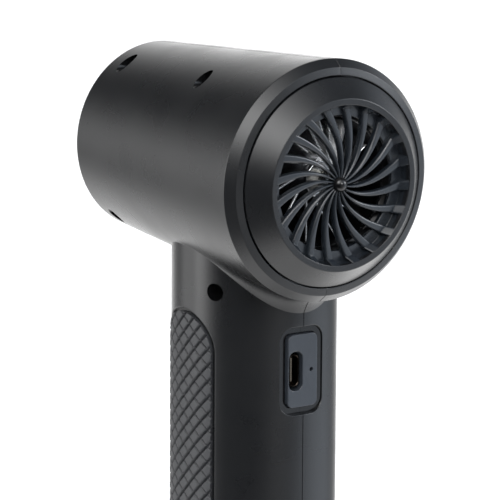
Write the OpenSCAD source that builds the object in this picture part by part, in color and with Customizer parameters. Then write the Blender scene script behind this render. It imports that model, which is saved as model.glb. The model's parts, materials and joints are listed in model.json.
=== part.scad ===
// Cordless hand-held turbine blower for drying cars.
// +Z is up, the air leaves along -Y and is drawn in from +Y.
// The origin is the centre of the flat underside of the handle.

/* [Barrel] */
// Height of the barrel axis above the trigger's upper end
axis_rise = 39; // [38:0.5:46]
// Outer radius of the barrel at its rear edge
barrel_rear_r = 32.5; // [32:0.25:35]
// Outer radius of the barrel at its front edge
barrel_front_r = 26.5; // [26:0.25:29]
// Distance from the handle axis back to the barrel's rear edge
barrel_back = 33; // [32:0.5:38]
// Distance from the handle axis forward to the barrel's front edge
barrel_fore = 49.3; // [48:0.1:56]
// Wall thickness of the two housing shells
shell_wall = 1.9; // [1.7:0.05:2.1]
// Bevel round the barrel's front edge
front_bevel = 1; // [0.4:0.1:1.4]
// Radial width of the bevelled rear band
rear_bevel = 2.1; // [1.7:0.1:2.9]
// Axial length of the bevelled rear band
rear_band = 2.5; // [1.5:0.1:4]
// Axial rise of the rear face towards the mouth
rear_face_rise = 0.5; // [0.2:0.1:1]
// Thickness of the flange round the rear mouth
mouth_flange = 2.3; // [1.8:0.1:2.6]

/* [Handle] */
// Radius of the rounded front and back of the handle section
handle_r = 21.3; // [21:0.1:23]
// Distance of each round's centre from the handle axis
oval_off = 2.2; // [1.8:0.1:3]
// Radius of the hollow between the barrel and the back of the handle
neck_fillet = 5.7; // [4:0.1:7]
// Radius of the saddle under the barrel that this hollow is cut from
saddle_r = 21.5; // [20.5:0.1:22.5]
// Steps that the neck hollow is cut in
neck_steps = 4; // [3:1:6]

/* [Intake] */
// Distance from the barrel's rear radius in to the intake bezel
bezel_inset = 4.6; // [4.1:0.1:5.2]
// Gap round the bezel
bezel_gap = 0.4; // [0.25:0.05:0.5]
// Radial width of the bezel cone
bezel_cone = 4.8; // [3.9:0.1:5.3]
// Axial height of the bezel cone
bezel_rise = 5.7; // [4.5:0.1:7]
// Radial width of the bezel's flat face
bezel_land = 1.8; // [1.3:0.1:2.3]
// Width of the flange that the shells clamp
bezel_flange = 2; // [1.2:0.1:2.1]
// Thickness of that flange
bezel_flange_t = 2.2; // [1.6:0.1:2.6]

/* [Grille] */
// Number of swirled blades
blade_count = 20; // [12:1:24]
// Recess of the blades behind the flat face
blade_recess = 1.8; // [0.8:0.1:2.4]
// Axial depth of a blade
blade_depth = 3.6; // [2.6:0.1:3.8]
// Step down at a blade's outer end
foot_drop = 2; // [1:0.1:2.4]
// Radius of the hub dome
dome_r = 2.05; // [1.8:0.05:3]
// Distance from the blades' outer ends out to the flat face
blade_tip_room = 0.95; // [0.7:0.05:1.9]
// Width of a blade at the hub
blade_root_w = 0.5; // [0.4:0.05:0.6]
// Width of a blade at its outer end
blade_tip_w = 2.5; // [1.8:0.1:3]
// Angle of the first blade's tip
blade_start = 6.8; // [0:0.1:18]
// Angle that a blade turns between its tip and the centre
blade_sweep = 34.5; // [20:0.5:45]
// Bow of the blade: degrees that the sweep loses towards the tip
blade_bow = 11.6; // [0:0.2:20]
// Radial width of the grille's rim
grille_rim_w = 2.7; // [2.1:0.1:3.1]

/* [Fan] */
// Radius of the air duct's bore
duct_r = 17.2; // [16.8:0.1:17.4]
// Wall thickness of the duct
duct_wall = 1.2; // [1:0.05:1.3]
// Radius of the sharp lip ahead of the duct
lip_r = 18.3; // [18:0.1:19.4]
// Running gap between the impeller and the duct
tip_gap = 0.35; // [0.3:0.05:0.6]
// Number of impeller blades
impeller_blades = 11; // [7:1:13]
// Axial length of the impeller
impeller_len = 12; // [10:0.5:13]
// Radius of the impeller hub at its nose
hub_nose_r = 5; // [4.5:0.1:6.5]
// Radius of the impeller hub at its back
hub_back_r = 10.5; // [9:0.1:11]
// Pitch of the impeller blades
impeller_pitch = 42; // [35:1:50]
// Thickness of an impeller blade
impeller_blade_t = 0.8; // [0.6:0.05:1]
// Number of fixed vanes behind the impeller
vane_count = 9; // [7:1:10]
// Thickness of a fixed vane
vane_t = 1; // [0.8:0.1:1.2]

/* [Motor] */
// Outer radius of the motor cup
cup_r = 11.5; // [11.2:0.1:12]
// Wall thickness of the motor cup
cup_wall = 1.1; // [0.9:0.05:1.2]
// Thickness of the cup's front wall
cup_front_t = 1.6; // [1.2:0.1:2]
// Radius of the motor shaft
shaft_r = 2; // [1.5:0.1:2.2]
// Outer radius of the ball bearings
bearing_r = 4.5; // [4:0.1:5]
// Width of a ball bearing
bearing_w = 4; // [3:0.5:4]
// Axial length of the laminated core
core_len = 12; // [9:0.5:12]
// Number of core teeth
tooth_count = 6; // [3:1:6]
// Width of a core tooth
tooth_w = 2.2; // [1.8:0.1:2.4]
// Radius of the rotor magnet
magnet_r = 4.6; // [4:0.1:4.8]
// Air gap between the magnet and the core
air_gap = 0.7; // [0.4:0.1:0.8]
// Length of the tail cone behind the motor
tail_len = 22; // [16:1:24]
// Radius of the tail cone's blunt tip
tail_tip_r = 2.5; // [1.5:0.1:5]

/* [Outlet] */
// Radius of the outlet bore that takes push-in nozzles
outlet_r = 15.5; // [14.8:0.1:15.8]
// Depth of the outlet bore
outlet_depth = 13; // [10:0.5:14]
// Wall thickness of the outlet tube
outlet_wall = 1.3; // [1:0.1:1.5]
// How far the outlet ring stands out of the barrel
outlet_stand = 2; // [1:0.1:2.5]
// Outer radius of the outlet ring
outlet_ring_r = 24.2; // [23.4:0.1:24.4]

/* [Trigger] */
// Height of the trigger's lower end above the battery's circuit board
trigger_rise = 5.9; // [5.5:0.1:8]
// Length of the trigger along the handle
trigger_len = 29; // [26:0.5:30]
// Width of the trigger
trigger_w = 14; // [12:0.5:14.5]
// How far the trigger stands out of the handle
trigger_stand = 7.5; // [6.5:0.5:8]
// Travel of the trigger
trigger_travel = 6; // [4:0.5:6]
// Radius of the trigger's corners
trigger_corner_r = 5; // [3:0.5:5.5]
// Radius of the finger hollow
finger_r = 30; // [24:1:40]
// Wall thickness of the trigger
trigger_wall = 1.6; // [1.2:0.1:2]
// Radius of the switch plunger
plunger_r = 2.2; // [1.8:0.1:2.3]
// Wire radius of the return spring
spring_wire_r = 0.35; // [0.25:0.05:0.4]
// Radius of the spring's coil centre line
spring_coil_r = 3.5; // [3.2:0.1:3.8]
// Number of spring coils
spring_turns = 7; // [5:1:8]

/* [Charging port] */
// Width of the sunken frame
port_frame_w = 13.8; // [13:0.1:15]
// Height of the sunken frame
port_frame_h = 24.2; // [23.4:0.1:26]
// Width of the port panel
port_panel_w = 9.6; // [9.4:0.1:10.8]
// Height of the port panel
port_panel_h = 20.1; // [18.6:0.1:21.4]
// Distance of the port's middle below the barrel axis
port_drop = 53.4; // [52:0.1:55]
// Depth of the sunken frame at the seam
port_sink = 1.6; // [1.4:0.05:1.7]
// Depth of the panel's face at the seam
panel_sink = 0.3; // [0.2:0.05:0.8]
// Sideways place of the socket on the panel
socket_x = 2.2; // [2.1:0.1:2.4]
// Outer width of the socket's metal shell
socket_w = 3.26; // [3.2:0.02:3.4]
// Outer height of the socket's metal shell
socket_h = 8.94; // [8.9:0.02:9.1]
// Depth of the socket's metal shell
socket_depth = 7.3; // [6.5:0.1:7.4]
// Sideways place of the charge light
light_x = -2.8; // [-3.2:0.1:-2.6]
// Radius of the charge light
light_r = 0.55; // [0.4:0.05:0.7]

/* [Battery] */
// Room between the cells and the front wall of the handle
cell_room = 0.55; // [0.5:0.05:0.9]
// Length of a battery cell
cell_len = 65; // [65:0.1:65.3]
// Gap between two cells
cell_gap = 0.6; // [0.5:0.05:0.7]
// Thickness of a cell holder
holder_t = 5; // [4:0.5:5.5]
// Depth of the pockets in a cell holder
pocket_depth = 3; // [2:0.5:3]
// Thickness of the circuit boards
board_t = 1.6; // [1:0.1:1.6]

/* [Base] */
// Thickness of the base cap where it shows
base_cap_t = 3.7; // [3.2:0.1:5]
// Thickness of the rubber foot
foot_t = 1.6; // [1.2:0.1:2]
// How far the rubber foot stands out of the base cap
foot_stand = 0.8; // [0.4:0.1:1]
// Height of the base cap's collar inside the shells
collar_h = 4.8; // [4:0.1:6]

/* [Grips] */
// Half width of a grip pad
pad_half_w = 12; // [9:0.5:13]
// Distance of the pads' top below the barrel axis
pad_drop = 38.6; // [38:0.1:44]
// Height of the pads' lower end
pad_z = 18; // [14:1:30]
// Forward shift of the pads from the handle axis
pad_shift = 2; // [0:0.5:3]
// Depth of the pocket that holds a pad
pad_sink = 0.9; // [0.6:0.1:1]
// How far a pad stands out of the handle
pad_proud = 0.35; // [0.2:0.05:0.6]

/* [Screws] */
// Diameter of the holes that the housing screws sit in
screw_hole_d = 4.7; // [4:0.1:4.8]
// Wall round a screw hole
screw_boss_wall = 0.9; // [0.7:0.1:1]
// Distance of the front upper screw ahead of the handle axis
front_top_screw_fore = 41.2; // [39:0.1:42]
// Height of the front upper screw above the barrel axis
front_top_screw_up = 22.5; // [22:0.1:23]
// Distance of the front lower screw ahead of the handle axis
front_low_screw_fore = 42; // [40:0.1:42.1]
// Distance of the front lower screw below the barrel axis
front_low_screw_down = 20.2; // [20.1:0.1:23]
// Distance of the middle screw behind the handle axis
mid_screw_back = 1.2; // [-10:0.1:14]
// Height of the middle screw above the barrel axis
mid_screw_up = 24.2; // [22.4:0.1:26]
// Distance of the neck screw behind the handle axis
neck_screw_back = 10.1; // [8:0.1:13]
// Distance of the neck screw below the barrel axis
neck_screw_down = 32; // [30:0.1:34]
// Height of the lowest housing screw above the underside
screw_low_z = 20; // [19:0.5:26]
// Thickness of material under a screw head
screw_seat = 3.5; // [2.5:0.1:4]

/* [Clearances] */
// Gap between parts that are fitted together
fit = 0.2; // [0.15:0.05:0.25]
// Radial gap of shafts, bearings and close-fitting rounds
shaft_fit = 0.03; // [0.02:0.01:0.06]
// Gap round the trigger in its window
trigger_gap = 0.4; // [0.3:0.05:0.6]

/* [Hidden] */
$fn = 64;
eps = 0.5;

// Rear of the barrel: each ring's radius follows from the ring outside it
rear_face_r = barrel_rear_r - rear_bevel;
bezel_r = barrel_rear_r - bezel_inset;
bezel_face_r = bezel_r - bezel_cone;
intake_r = bezel_face_r - bezel_land;
blade_tip_r = intake_r - blade_tip_room;
grille_rim_r = intake_r + grille_rim_w;

// Rear of the barrel, front to back along Y
rear_face_y = barrel_back + rear_band + rear_face_rise;
mouth_r = bezel_r + bezel_gap;
mouth_front_y = rear_face_y - mouth_flange;
bezel_face_y = rear_face_y + bezel_rise;
blade_top_y = bezel_face_y - blade_recess;
blade_back_y = blade_top_y - blade_depth;
grille_rim_front_y = blade_back_y - 0.3;
lip_y = grille_rim_front_y - fit;
bezel_flange_back_y = mouth_front_y - fit;
bezel_flange_front_y = bezel_flange_back_y - bezel_flange_t;
bezel_rib_y = bezel_flange_front_y - fit;
bezel_rib_t = 1.8;
bezel_skin = 1.7;

// Fan unit
duct_out_r = duct_r + duct_wall;
bell_t = 1.2;
bell_throat = 2;
duct_back_y = lip_y - bell_throat;
duct_front_y = -30;
bell_sleeve = 4.8;
impeller_nose_y = duct_back_y - 2.6;
impeller_back_y = impeller_nose_y - impeller_len;
impeller_r = duct_r - tip_gap;
cup_back_y = impeller_back_y - 1.5;
cup_in_r = cup_r - cup_wall;
cup_front_y = -12;
front_bearing_y = cup_back_y - cup_front_t - bearing_w + 1.2;
core_y = -3;
coil_over = 1.8;
carrier_t = 2.4;
rear_bearing_y = cup_front_y;
tail_tip_y = cup_front_y - tail_len;
vane_front_y = -4;
vane_len = 15;
vane_lean = 14;

// Rubber rings that carry the fan unit in the shells
damper_w = 6;
damper_groove_w = 3.2;
damper_room = 1.8;
damper_groove = 1.2;
rear_damper_y = 20;
front_damper_y = -22;
damper_r = barrel_in_r(front_damper_y) - damper_room;
damper_groove_r = damper_r - damper_groove;
damper_rib_w = damper_groove_w - fit;

// Outlet
outlet_face_y = -barrel_fore - outlet_stand;
outlet_plate_t = 5.9;
outlet_groove_r = outlet_ring_r - 1.6;
outlet_rib_back_y = outlet_face_y + outlet_plate_t - 1.7;
outlet_rib_t = 1.6;
outlet_open_r = outlet_ring_r + fit;
nozzle_back_y = duct_front_y - fit;

// Handle and base
cap_top_z = foot_stand + base_cap_t;
handle_in_r = handle_r - shell_wall;
collar_top_z = cap_top_z + collar_h;
holder_r = handle_in_r - fit;

// Battery stack, from the base cap up: a triangle of three cells
cell_count = 3;
lower_holder_z = collar_top_z + fit;
holder_floor = holder_t - pocket_depth;
cell_z = lower_holder_z + holder_floor;
cell_top_z = cell_z + cell_len;
upper_holder_z = cell_top_z - pocket_depth;
stack_top_z = cell_top_z + holder_floor;
post_h = 1;
post_r = 1.4;
battery_board_z = stack_top_z + post_h;
battery_board_top_z = battery_board_z + board_t;
trigger_z = battery_board_top_z + trigger_rise;
axis_h = trigger_z + trigger_len + axis_rise;
pack_shift = -1;
pack_r = handle_in_r + oval_off + pack_shift - cell_room;
cell_r = (pack_r - cell_gap / sqrt(3)) / (1 + 2 / sqrt(3));
cell_ring_r = (2 * cell_r + cell_gap) / sqrt(3);
strap_w = 6;
strap_t = 0.25;

// Trigger and switch
handle_front_y = -(handle_r + oval_off);
trigger_face_y = handle_front_y - trigger_stand;
trigger_mid_z = trigger_z + trigger_len / 2;
flange_over = 1.6;
flange_t = 1.5;
flange_half_w = trigger_w / 2 + flange_over;
flange_wall_y = -oval_off - sqrt(handle_in_r * handle_in_r - flange_half_w * flange_half_w);
flange_face_y = flange_wall_y + trigger_gap;
flange_back_y = flange_face_y + flange_t;
trigger_web_y = trigger_face_y + 2 + trigger_wall;
switch_face_y = flange_back_y + trigger_travel + 1.3;
board_y = 3;
switch_back_y = board_y - 1;
switch_w = 16;
switch_h = 21;
plunger_end_y = switch_face_y + 2;
plunger_fit = 0.25;
spring_seat = 0.1;

// Control board
board_w = 33;
board_z = battery_board_top_z + 4;
board_h = trigger_z + trigger_len + 2 - board_z;

// Charging port
port_z = axis_h - port_drop;
port_face_y = handle_r + oval_off - port_sink;
panel_face_y = handle_r + oval_off - panel_sink;
port_plate_t = 1.6;
port_flange_t = 1.3;
port_flange_over = 0.9;
port_back_room = 0.4;
port_block_y = port_face_y - port_plate_t - port_flange_t - port_back_room;
port_frame_r = 4;
port_panel_r = 1.8;
slot_w = socket_w + 1;
slot_h = socket_h + 1.8;
socket_recess = 1;
socket_face_y = panel_face_y - socket_recess;
socket_back_y = socket_face_y - socket_depth;
socket_skin = 0.3;
charge_board_x = socket_x - socket_w / 2 - 0.02 - board_t;
charge_board_len = 10.4;
charge_board_back_y = port_block_y - fit;
charge_board_front_y = charge_board_back_y - charge_board_len;
charge_board_h = 21;
light_recess = 1.5;
shelf_t = 2;
shelf_y = port_block_y - 4.6;

// Screws
screw_head_r = 2;
screw_head_h = 1.8;
screw_shank_r = 1.25;
screw_pilot_r = 1.3;
screw_grip = 11;
screw_boss_r = screw_hole_d / 2 + screw_boss_wall;
screw_low_y = handle_in_r + oval_off - 4.8;
screw_places = [
    [-front_top_screw_fore, axis_h + front_top_screw_up],
    [-front_low_screw_fore, axis_h - front_low_screw_down],
    [mid_screw_back, axis_h + mid_screw_up],
    [neck_screw_back, axis_h - neck_screw_down],
    [screw_low_y, screw_low_z]];
low_boss_r = 2.8;

// Screws of the base cap, in the four corners of the handle
base_screw_r = 1;
base_pilot_r = 1.05;
base_head_r = 1.9;
base_head_h = 1.3;
base_boss_r = 2.4;
base_boss_angle = 50;
base_boss_place = handle_in_r - 2.1;
base_seat_z = foot_t + 0.05 + base_head_h;

// Radius of the barrel's outer cone at a place along Y
function barrel_r(y) =
    barrel_rear_r + (barrel_front_r - barrel_rear_r) * (barrel_back - y) / (barrel_back + barrel_fore);
function barrel_in_r(y) = barrel_r(y) - shell_wall;

// Angle of a grille blade's centre line at a radius, counted from its tip
function blade_angle(r) =
    let (t = r / blade_tip_r)
    (1 - t) * (blade_sweep - blade_bow * t);
function blade_w(r) = blade_root_w + (blade_tip_w - blade_root_w) * (r - dome_r) / (blade_tip_r - dome_r);

// Cubic curve between two points with two handles
function curve(a, b, c, d, t) =
    pow(1 - t, 3) * a + 3 * pow(1 - t, 2) * t * b + 3 * (1 - t) * t * t * c + pow(t, 3) * d;

// Route of the motor leads: out of the coils, down through the cup and duct, and onto the control board
lead_r = 0.7;
lead_pitch = 2.6;
lead_y = core_y - coil_over - lead_r - 0.7;
lead_start = [core_y - coil_over - 0.05, axis_h - cup_in_r + 3.4];
lead_turn = [lead_y, axis_h - cup_in_r + 0.6];
lead_drop = [lead_y, axis_h - duct_out_r - 2];
lead_end = [board_y - lead_r - 0.02, board_z + board_h - 3];
lead_path = concat(
    [for (t = [0:0.25:1]) curve(lead_start, [lead_y, lead_start[1]], [lead_y, lead_start[1]], lead_turn, t)],
    [for (t = [0:0.1:1]) curve(lead_drop, lead_drop - [0, 7], lead_end + [0, 9], lead_end, t)]);

// Stands shapes drawn along Z on the barrel axis, pointing back from y
module on_axis(y) {
    translate([0, y, axis_h]) rotate([-90, 0, 0]) children();
}

module disc(r, y0, y1) {
    on_axis(y0) cylinder(r = r, h = y1 - y0);
}

module tube(r_out, r_in, y0, y1) {
    difference() {
        disc(r_out, y0, y1);
        disc(r_in, y0 - eps, y1 + eps);
    }
}

// Turns an outline of [radius, y] points round the barrel axis
module turned(points) {
    on_axis(0) rotate_extrude() polygon(points);
}

// Section of the handle: two rounds and the flat sides between them
module oval(r) {
    for (s = [-1, 1]) translate([0, s * oval_off]) circle(r = r);
    square([2 * r, 2 * oval_off], center = true);
}

module column(r, z0, z1) {
    translate([0, 0, z0]) linear_extrude(z1 - z0) oval(r);
}

module rounded_rect(w, h, r) {
    square([w - 2 * r, h], center = true);
    square([w, h - 2 * r], center = true);
    for (x = [-1, 1], y = [-1, 1]) translate([x * (w / 2 - r), y * (h / 2 - r)]) circle(r = r, $fn = 32);
}

// Rounded plate across the charging port, between two places along Y
module port_plate(w, h, r, y0, y1) {
    translate([0, y1, port_z]) rotate([90, 0, 0]) linear_extrude(y1 - y0) rounded_rect(w, h, r);
}

module rod_x(r, x0, x1, y, z) {
    translate([x0, y, z]) rotate([0, 90, 0]) cylinder(r = r, h = x1 - x0);
}

module rod_y(r, x, y0, y1, z) {
    translate([x, y0, z]) rotate([-90, 0, 0]) cylinder(r = r, h = y1 - y0);
}

module block(x0, x1, y0, y1, z0, z1) {
    translate([x0, y0, z0]) cube([x1 - x0, y1 - y0, z1 - z0]);
}

// Outer form of the whole housing, grown by an amount where asked
module barrel_solid(grow) {
    turned([
        [0, -barrel_fore],
        [barrel_front_r - front_bevel + grow, -barrel_fore],
        [barrel_r(-barrel_fore + front_bevel) + grow, -barrel_fore + front_bevel],
        [barrel_rear_r + grow, barrel_back],
        [rear_face_r + grow, barrel_back + rear_band],
        [mouth_r, rear_face_y],
        [0, rear_face_y]]);
}

// The hollow of the neck, which runs out towards the sides of the handle: each band is the saddle,
// drawn in towards its axis, as far as the handle's section reaches when it is shifted back
module neck() {
    saddle_z = axis_h - barrel_r(handle_r + oval_off) - neck_fillet + saddle_r;
    step = 90 / (neck_steps + 1);
    for (k = [1:neck_steps]) {
        intersection() {
            rod_y(saddle_r - neck_fillet * sin(step * (k - 0.5)), 0, 0, barrel_back, saddle_z);
            translate([0, neck_fillet * (1 - cos(step * k)), 0])
                column(handle_r, saddle_z - saddle_r, axis_h);
        }
    }
}

module housing_solid() {
    barrel_solid(0);
    column(handle_r, cap_top_z, axis_h);
    neck();
}

// Air space inside the barrel, with the front opening and the rear mouth
module barrel_hollow() {
    turned([
        [0, -barrel_fore - eps],
        [outlet_open_r, -barrel_fore - eps],
        [outlet_open_r, outlet_rib_back_y],
        [barrel_in_r(outlet_rib_back_y), outlet_rib_back_y],
        [barrel_in_r(mouth_front_y), mouth_front_y],
        [mouth_r, mouth_front_y],
        [mouth_r, rear_face_y + eps],
        [0, rear_face_y + eps]]);
}

// Ring rib that stands inside the barrel wall
module ring_rib(r_in, y0, y1) {
    tube(barrel_in_r((y0 + y1) / 2) + shell_wall / 2, r_in, y0, y1);
}

module housing_ribs() {
    ring_rib(outlet_groove_r + fit, outlet_rib_back_y - outlet_rib_t, outlet_rib_back_y);
    ring_rib(damper_groove_r + fit / 2, front_damper_y - damper_rib_w / 2, front_damper_y + damper_rib_w / 2);
    ring_rib(damper_groove_r + fit / 2, rear_damper_y - damper_rib_w / 2, rear_damper_y + damper_rib_w / 2);
    ring_rib(mouth_r, bezel_rib_y - bezel_rib_t, bezel_rib_y);
}

// Places of the screws that hold the base cap
module at_base_screws() {
    for (sx = [-1, 1], sy = [-1, 1]) {
        translate([sx * base_boss_place * cos(base_boss_angle),
            sy * (oval_off + base_boss_place * sin(base_boss_angle)), 0]) children();
    }
}

// Ribs, bosses and shelves inside the handle
module handle_fittings() {
    intersection() {
        housing_solid();
        union() {
            for (p = screw_places) {
                boss_r = p[1] < axis_h / 2 ? low_boss_r : screw_boss_r;
                rod_x(boss_r, -barrel_rear_r, barrel_rear_r, p[0], p[1]);
            }
            at_base_screws() translate([0, 0, cap_top_z]) cylinder(r = base_boss_r, h = collar_h);
            // Slots for the edges of the control board
            for (s = [-1, 1], z = [board_z + 1, board_z + board_h - 5]) {
                board_slot(s, z);
                switch_rib(s, z + 6 * (z > trigger_mid_z ? -1 : 1) + (z > trigger_mid_z ? 0 : 2));
            }
            // Block behind the charging port and the shelves of its board
            block(-port_frame_w / 2 - 1.6, port_frame_w / 2 + 1.6, port_block_y, handle_r,
                port_z - port_frame_h / 2 - 1.6, port_z + port_frame_h / 2 + 1.6);
            for (s = [-1, 1]) shelf(port_z + s * (charge_board_h / 2 + fit + shelf_t / 2));
        }
    }
}

module board_slot(side, z) {
    for (y0 = [board_y - fit - 1.3, board_y + board_t + fit]) {
        edge = side * (board_w / 2 - 1.2);
        wall = side * handle_r;
        block(min(edge, wall), max(edge, wall), y0, y0 + 1.3, z, z + 4);
    }
}

module switch_rib(side, z) {
    edge = side * (switch_w / 2 + fit);
    wall = side * handle_r;
    block(min(edge, wall), max(edge, wall), switch_face_y + 3, switch_face_y + 8, z, z + 2);
}

module shelf(z) {
    block(-handle_r, handle_r, shelf_y, port_block_y + eps, z - shelf_t / 2, z + shelf_t / 2);
}

// Openings cut through the shells
module housing_openings() {
    // Trigger window
    window_w = trigger_w / 2 + trigger_gap;
    block(-window_w, window_w, trigger_face_y, -oval_off - handle_in_r / 2,
        trigger_z - trigger_gap, trigger_z + trigger_len + trigger_gap);
    // Sunken frame, panel window and the rebate behind it
    port_plate(port_frame_w, port_frame_h, port_frame_r, port_face_y, handle_r + oval_off + eps);
    port_plate(port_panel_w + 2 * fit, port_panel_h + 2 * fit, port_panel_r + fit,
        port_block_y - eps, port_face_y + eps);
    rebate = port_flange_over + fit;
    port_plate(port_panel_w + 2 * rebate, port_panel_h + 2 * rebate, port_panel_r,
        port_block_y - eps, port_face_y - port_plate_t + fit / 2);
    // Grip pockets
    for (s = [-1, 1]) grip_form(s, handle_r - pad_sink, handle_r + 5, pad_half_w + fit / 2);
    // Screws of the base cap
    at_base_screws() translate([0, 0, cap_top_z - eps]) cylinder(r = base_pilot_r, h = collar_h + 2 * eps);
}

module half_space(side) {
    big = 3 * axis_h;
    translate([side * big / 2, 0, 0]) cube([big, big, big], center = true);
}

module housing_half(side) {
    intersection() {
        half_space(side);
        difference() {
            union() {
                difference() {
                    housing_solid();
                    barrel_hollow();
                    column(handle_in_r, cap_top_z - eps, axis_h);
                }
                housing_ribs();
                handle_fittings();
            }
            housing_openings();
        }
    }
}

module left_shell() {
    color("#333538") difference() {
        housing_half(1);
        for (p = screw_places) {
            rod_x(screw_hole_d / 2, screw_seat, barrel_rear_r + eps, p[0], p[1]);
            rod_x(screw_pilot_r + 0.1, -eps, screw_seat + eps, p[0], p[1]);
        }
    }
}

module right_shell() {
    color("#333538") difference() {
        housing_half(-1);
        for (p = screw_places) rod_x(screw_pilot_r, -screw_grip - 1, eps, p[0], p[1]);
    }
}

module housing_screws() {
    color("#2a2a2c") for (p = screw_places) {
        difference() {
            union() {
                rod_x(screw_head_r, screw_seat, screw_seat + screw_head_h, p[0], p[1]);
                rod_x(screw_shank_r, -screw_grip, screw_seat + eps, p[0], p[1]);
            }
            // Cross recess
            for (turn = [0, 90]) {
                translate([screw_seat + screw_head_h, p[0], p[1]]) rotate([turn, 0, 0])
                    cube([1.8, 2.4, 0.5], center = true);
            }
        }
    }
}

// Conical ring that frames the intake
module rear_bezel() {
    color("#3b3e43") turned([
        [intake_r, bezel_face_y],
        [bezel_face_r, bezel_face_y],
        [bezel_r, rear_face_y + 0.2],
        [bezel_r, bezel_flange_back_y],
        [bezel_r + bezel_flange, bezel_flange_back_y],
        [bezel_r + bezel_flange, bezel_flange_front_y],
        [bezel_r - bezel_skin, bezel_flange_front_y],
        [bezel_r - bezel_skin, rear_face_y - 1.5],
        [grille_rim_r + fit, rear_face_y + 0.5],
        [grille_rim_r + fit, blade_top_y - fit / 2],
        [intake_r, blade_top_y - fit / 2]]);
}

// One swirled blade between two radii, drawn square to the axis
module blade_outline(r0, r1) {
    steps = 9;
    radii = [for (i = [0:steps]) r0 + (r1 - r0) * i / steps];
    side_a = [for (r = radii) let (a = -blade_angle(r) + 90 * blade_w(r) / PI / r) [r * cos(a), r * sin(a)]];
    side_b = [for (i = [steps:-1:0]) let (r = radii[i], a = -blade_angle(r) - 90 * blade_w(r) / PI / r)
        [r * cos(a), r * sin(a)]];
    polygon(concat(side_a, side_b));
}

// Rim, swirled blades with stepped feet, and the domed hub
module intake_grille() {
    color("#4a4e55") {
        tube(grille_rim_r, intake_r + 0.05, grille_rim_front_y, blade_top_y - fit);
        on_axis(blade_back_y) for (i = [0:blade_count - 1]) {
            rotate([0, 0, -blade_start - 360 * i / blade_count]) {
                linear_extrude(blade_depth) blade_outline(dome_r - 0.4, blade_tip_r);
                linear_extrude(blade_depth - foot_drop) blade_outline(blade_tip_r - 1, intake_r + 0.5);
            }
        }
        disc(dome_r - 0.1, blade_back_y, blade_top_y);
        on_axis(blade_top_y) sphere(r = dome_r);
    }
}

// Shelf with a sharp lip, and the sleeve that holds it on the duct
module bellmouth() {
    color("#2c2e31") turned([
        [duct_r, duct_back_y + fit / 2],
        [lip_r, lip_y - bell_t / 2],
        [lip_r, lip_y],
        [intake_r + 1.5, lip_y],
        [intake_r + 1.5, lip_y - bell_t],
        [duct_out_r + 1.6, lip_y - bell_t],
        [duct_out_r + 1.6, duct_back_y - bell_sleeve],
        [duct_out_r + 0.1, duct_back_y - bell_sleeve],
        [duct_out_r + 0.1, duct_back_y + fit / 2]]);
}

// Slot that lets the motor leads out of the cup and the duct
module lead_slot() {
    block(-lead_pitch - lead_r - 0.5, lead_pitch + lead_r + 0.5, lead_y - lead_r - 0.4, lead_y + lead_r + 0.4,
        axis_h - duct_out_r - eps, axis_h - cup_in_r + 1.5);
}

// Duct tube, fixed vanes and the motor cup in one casting
module fan_housing() {
    seat_r = bearing_r + 1.4;
    color("#9a9da1") difference() {
        union() {
            tube(duct_out_r, duct_r, duct_front_y, duct_back_y);
            difference() {
                disc(cup_r, cup_front_y, cup_back_y);
                disc(cup_in_r, cup_front_y - eps, cup_back_y - cup_front_t);
                disc(shaft_r + 0.6, cup_front_y, cup_back_y + eps);
            }
            tube(seat_r, bearing_r + shaft_fit, front_bearing_y + 0.4, cup_back_y - cup_front_t + eps);
            intersection() {
                tube(duct_r + duct_wall / 2, cup_r - cup_wall / 2, vane_front_y, vane_front_y + vane_len);
                on_axis(vane_front_y + vane_len / 2) for (i = [0:vane_count - 1]) {
                    rotate([0, 0, 90 + (i + 0.5) * 360 / vane_count])
                        translate([0, duct_r, 0]) rotate([0, vane_lean, 0])
                        cube([vane_t, 2 * duct_r, 2 * vane_len], center = true);
                }
            }
        }
        disc(bearing_r + shaft_fit, front_bearing_y - eps, front_bearing_y + bearing_w + shaft_fit);
        lead_slot();
    }
}

// Converging outlet tube and the face ring that closes the barrel
module outlet_nozzle() {
    tube_r = outlet_r + outlet_wall;
    groove_y = outlet_rib_back_y;
    plate_back_y = outlet_face_y + outlet_plate_t;
    bore_back_y = outlet_face_y + outlet_depth;
    color("#3b3e43") difference() {
        turned([
            [outlet_r - 1.2, outlet_face_y],
            [outlet_ring_r - 1, outlet_face_y],
            [outlet_ring_r, outlet_face_y + 1],
            [outlet_ring_r, groove_y - outlet_rib_t - fit],
            [outlet_groove_r, groove_y - outlet_rib_t - fit],
            [outlet_groove_r, groove_y + fit],
            [outlet_ring_r - 0.6, groove_y + fit],
            [outlet_ring_r - 0.6, plate_back_y],
            [tube_r, plate_back_y],
            [tube_r, bore_back_y],
            [duct_out_r, nozzle_back_y - 1],
            [duct_out_r, nozzle_back_y],
            [duct_r, nozzle_back_y],
            [outlet_r - 1.2, bore_back_y]]);
        disc(outlet_r, outlet_face_y - eps, bore_back_y);
    }
}

// Streamlined fairing behind the motor
module tail_cone() {
    color("#85888c") difference() {
        union() {
            on_axis(tail_tip_y) rotate_extrude() polygon([
                [0, 0],
                [tail_tip_r, 0.6],
                [cup_r * 0.62, tail_len * 0.4],
                [cup_r * 0.9, tail_len * 0.75],
                [cup_r, tail_len - fit],
                [0, tail_len - fit]]);
            tube(cup_in_r - 0.05, cup_in_r - 1.2, cup_front_y - 1, cup_front_y + 1.4);
        }
        disc(cup_in_r - 1.2, cup_front_y - 7, cup_front_y + 3);
    }
}

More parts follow.
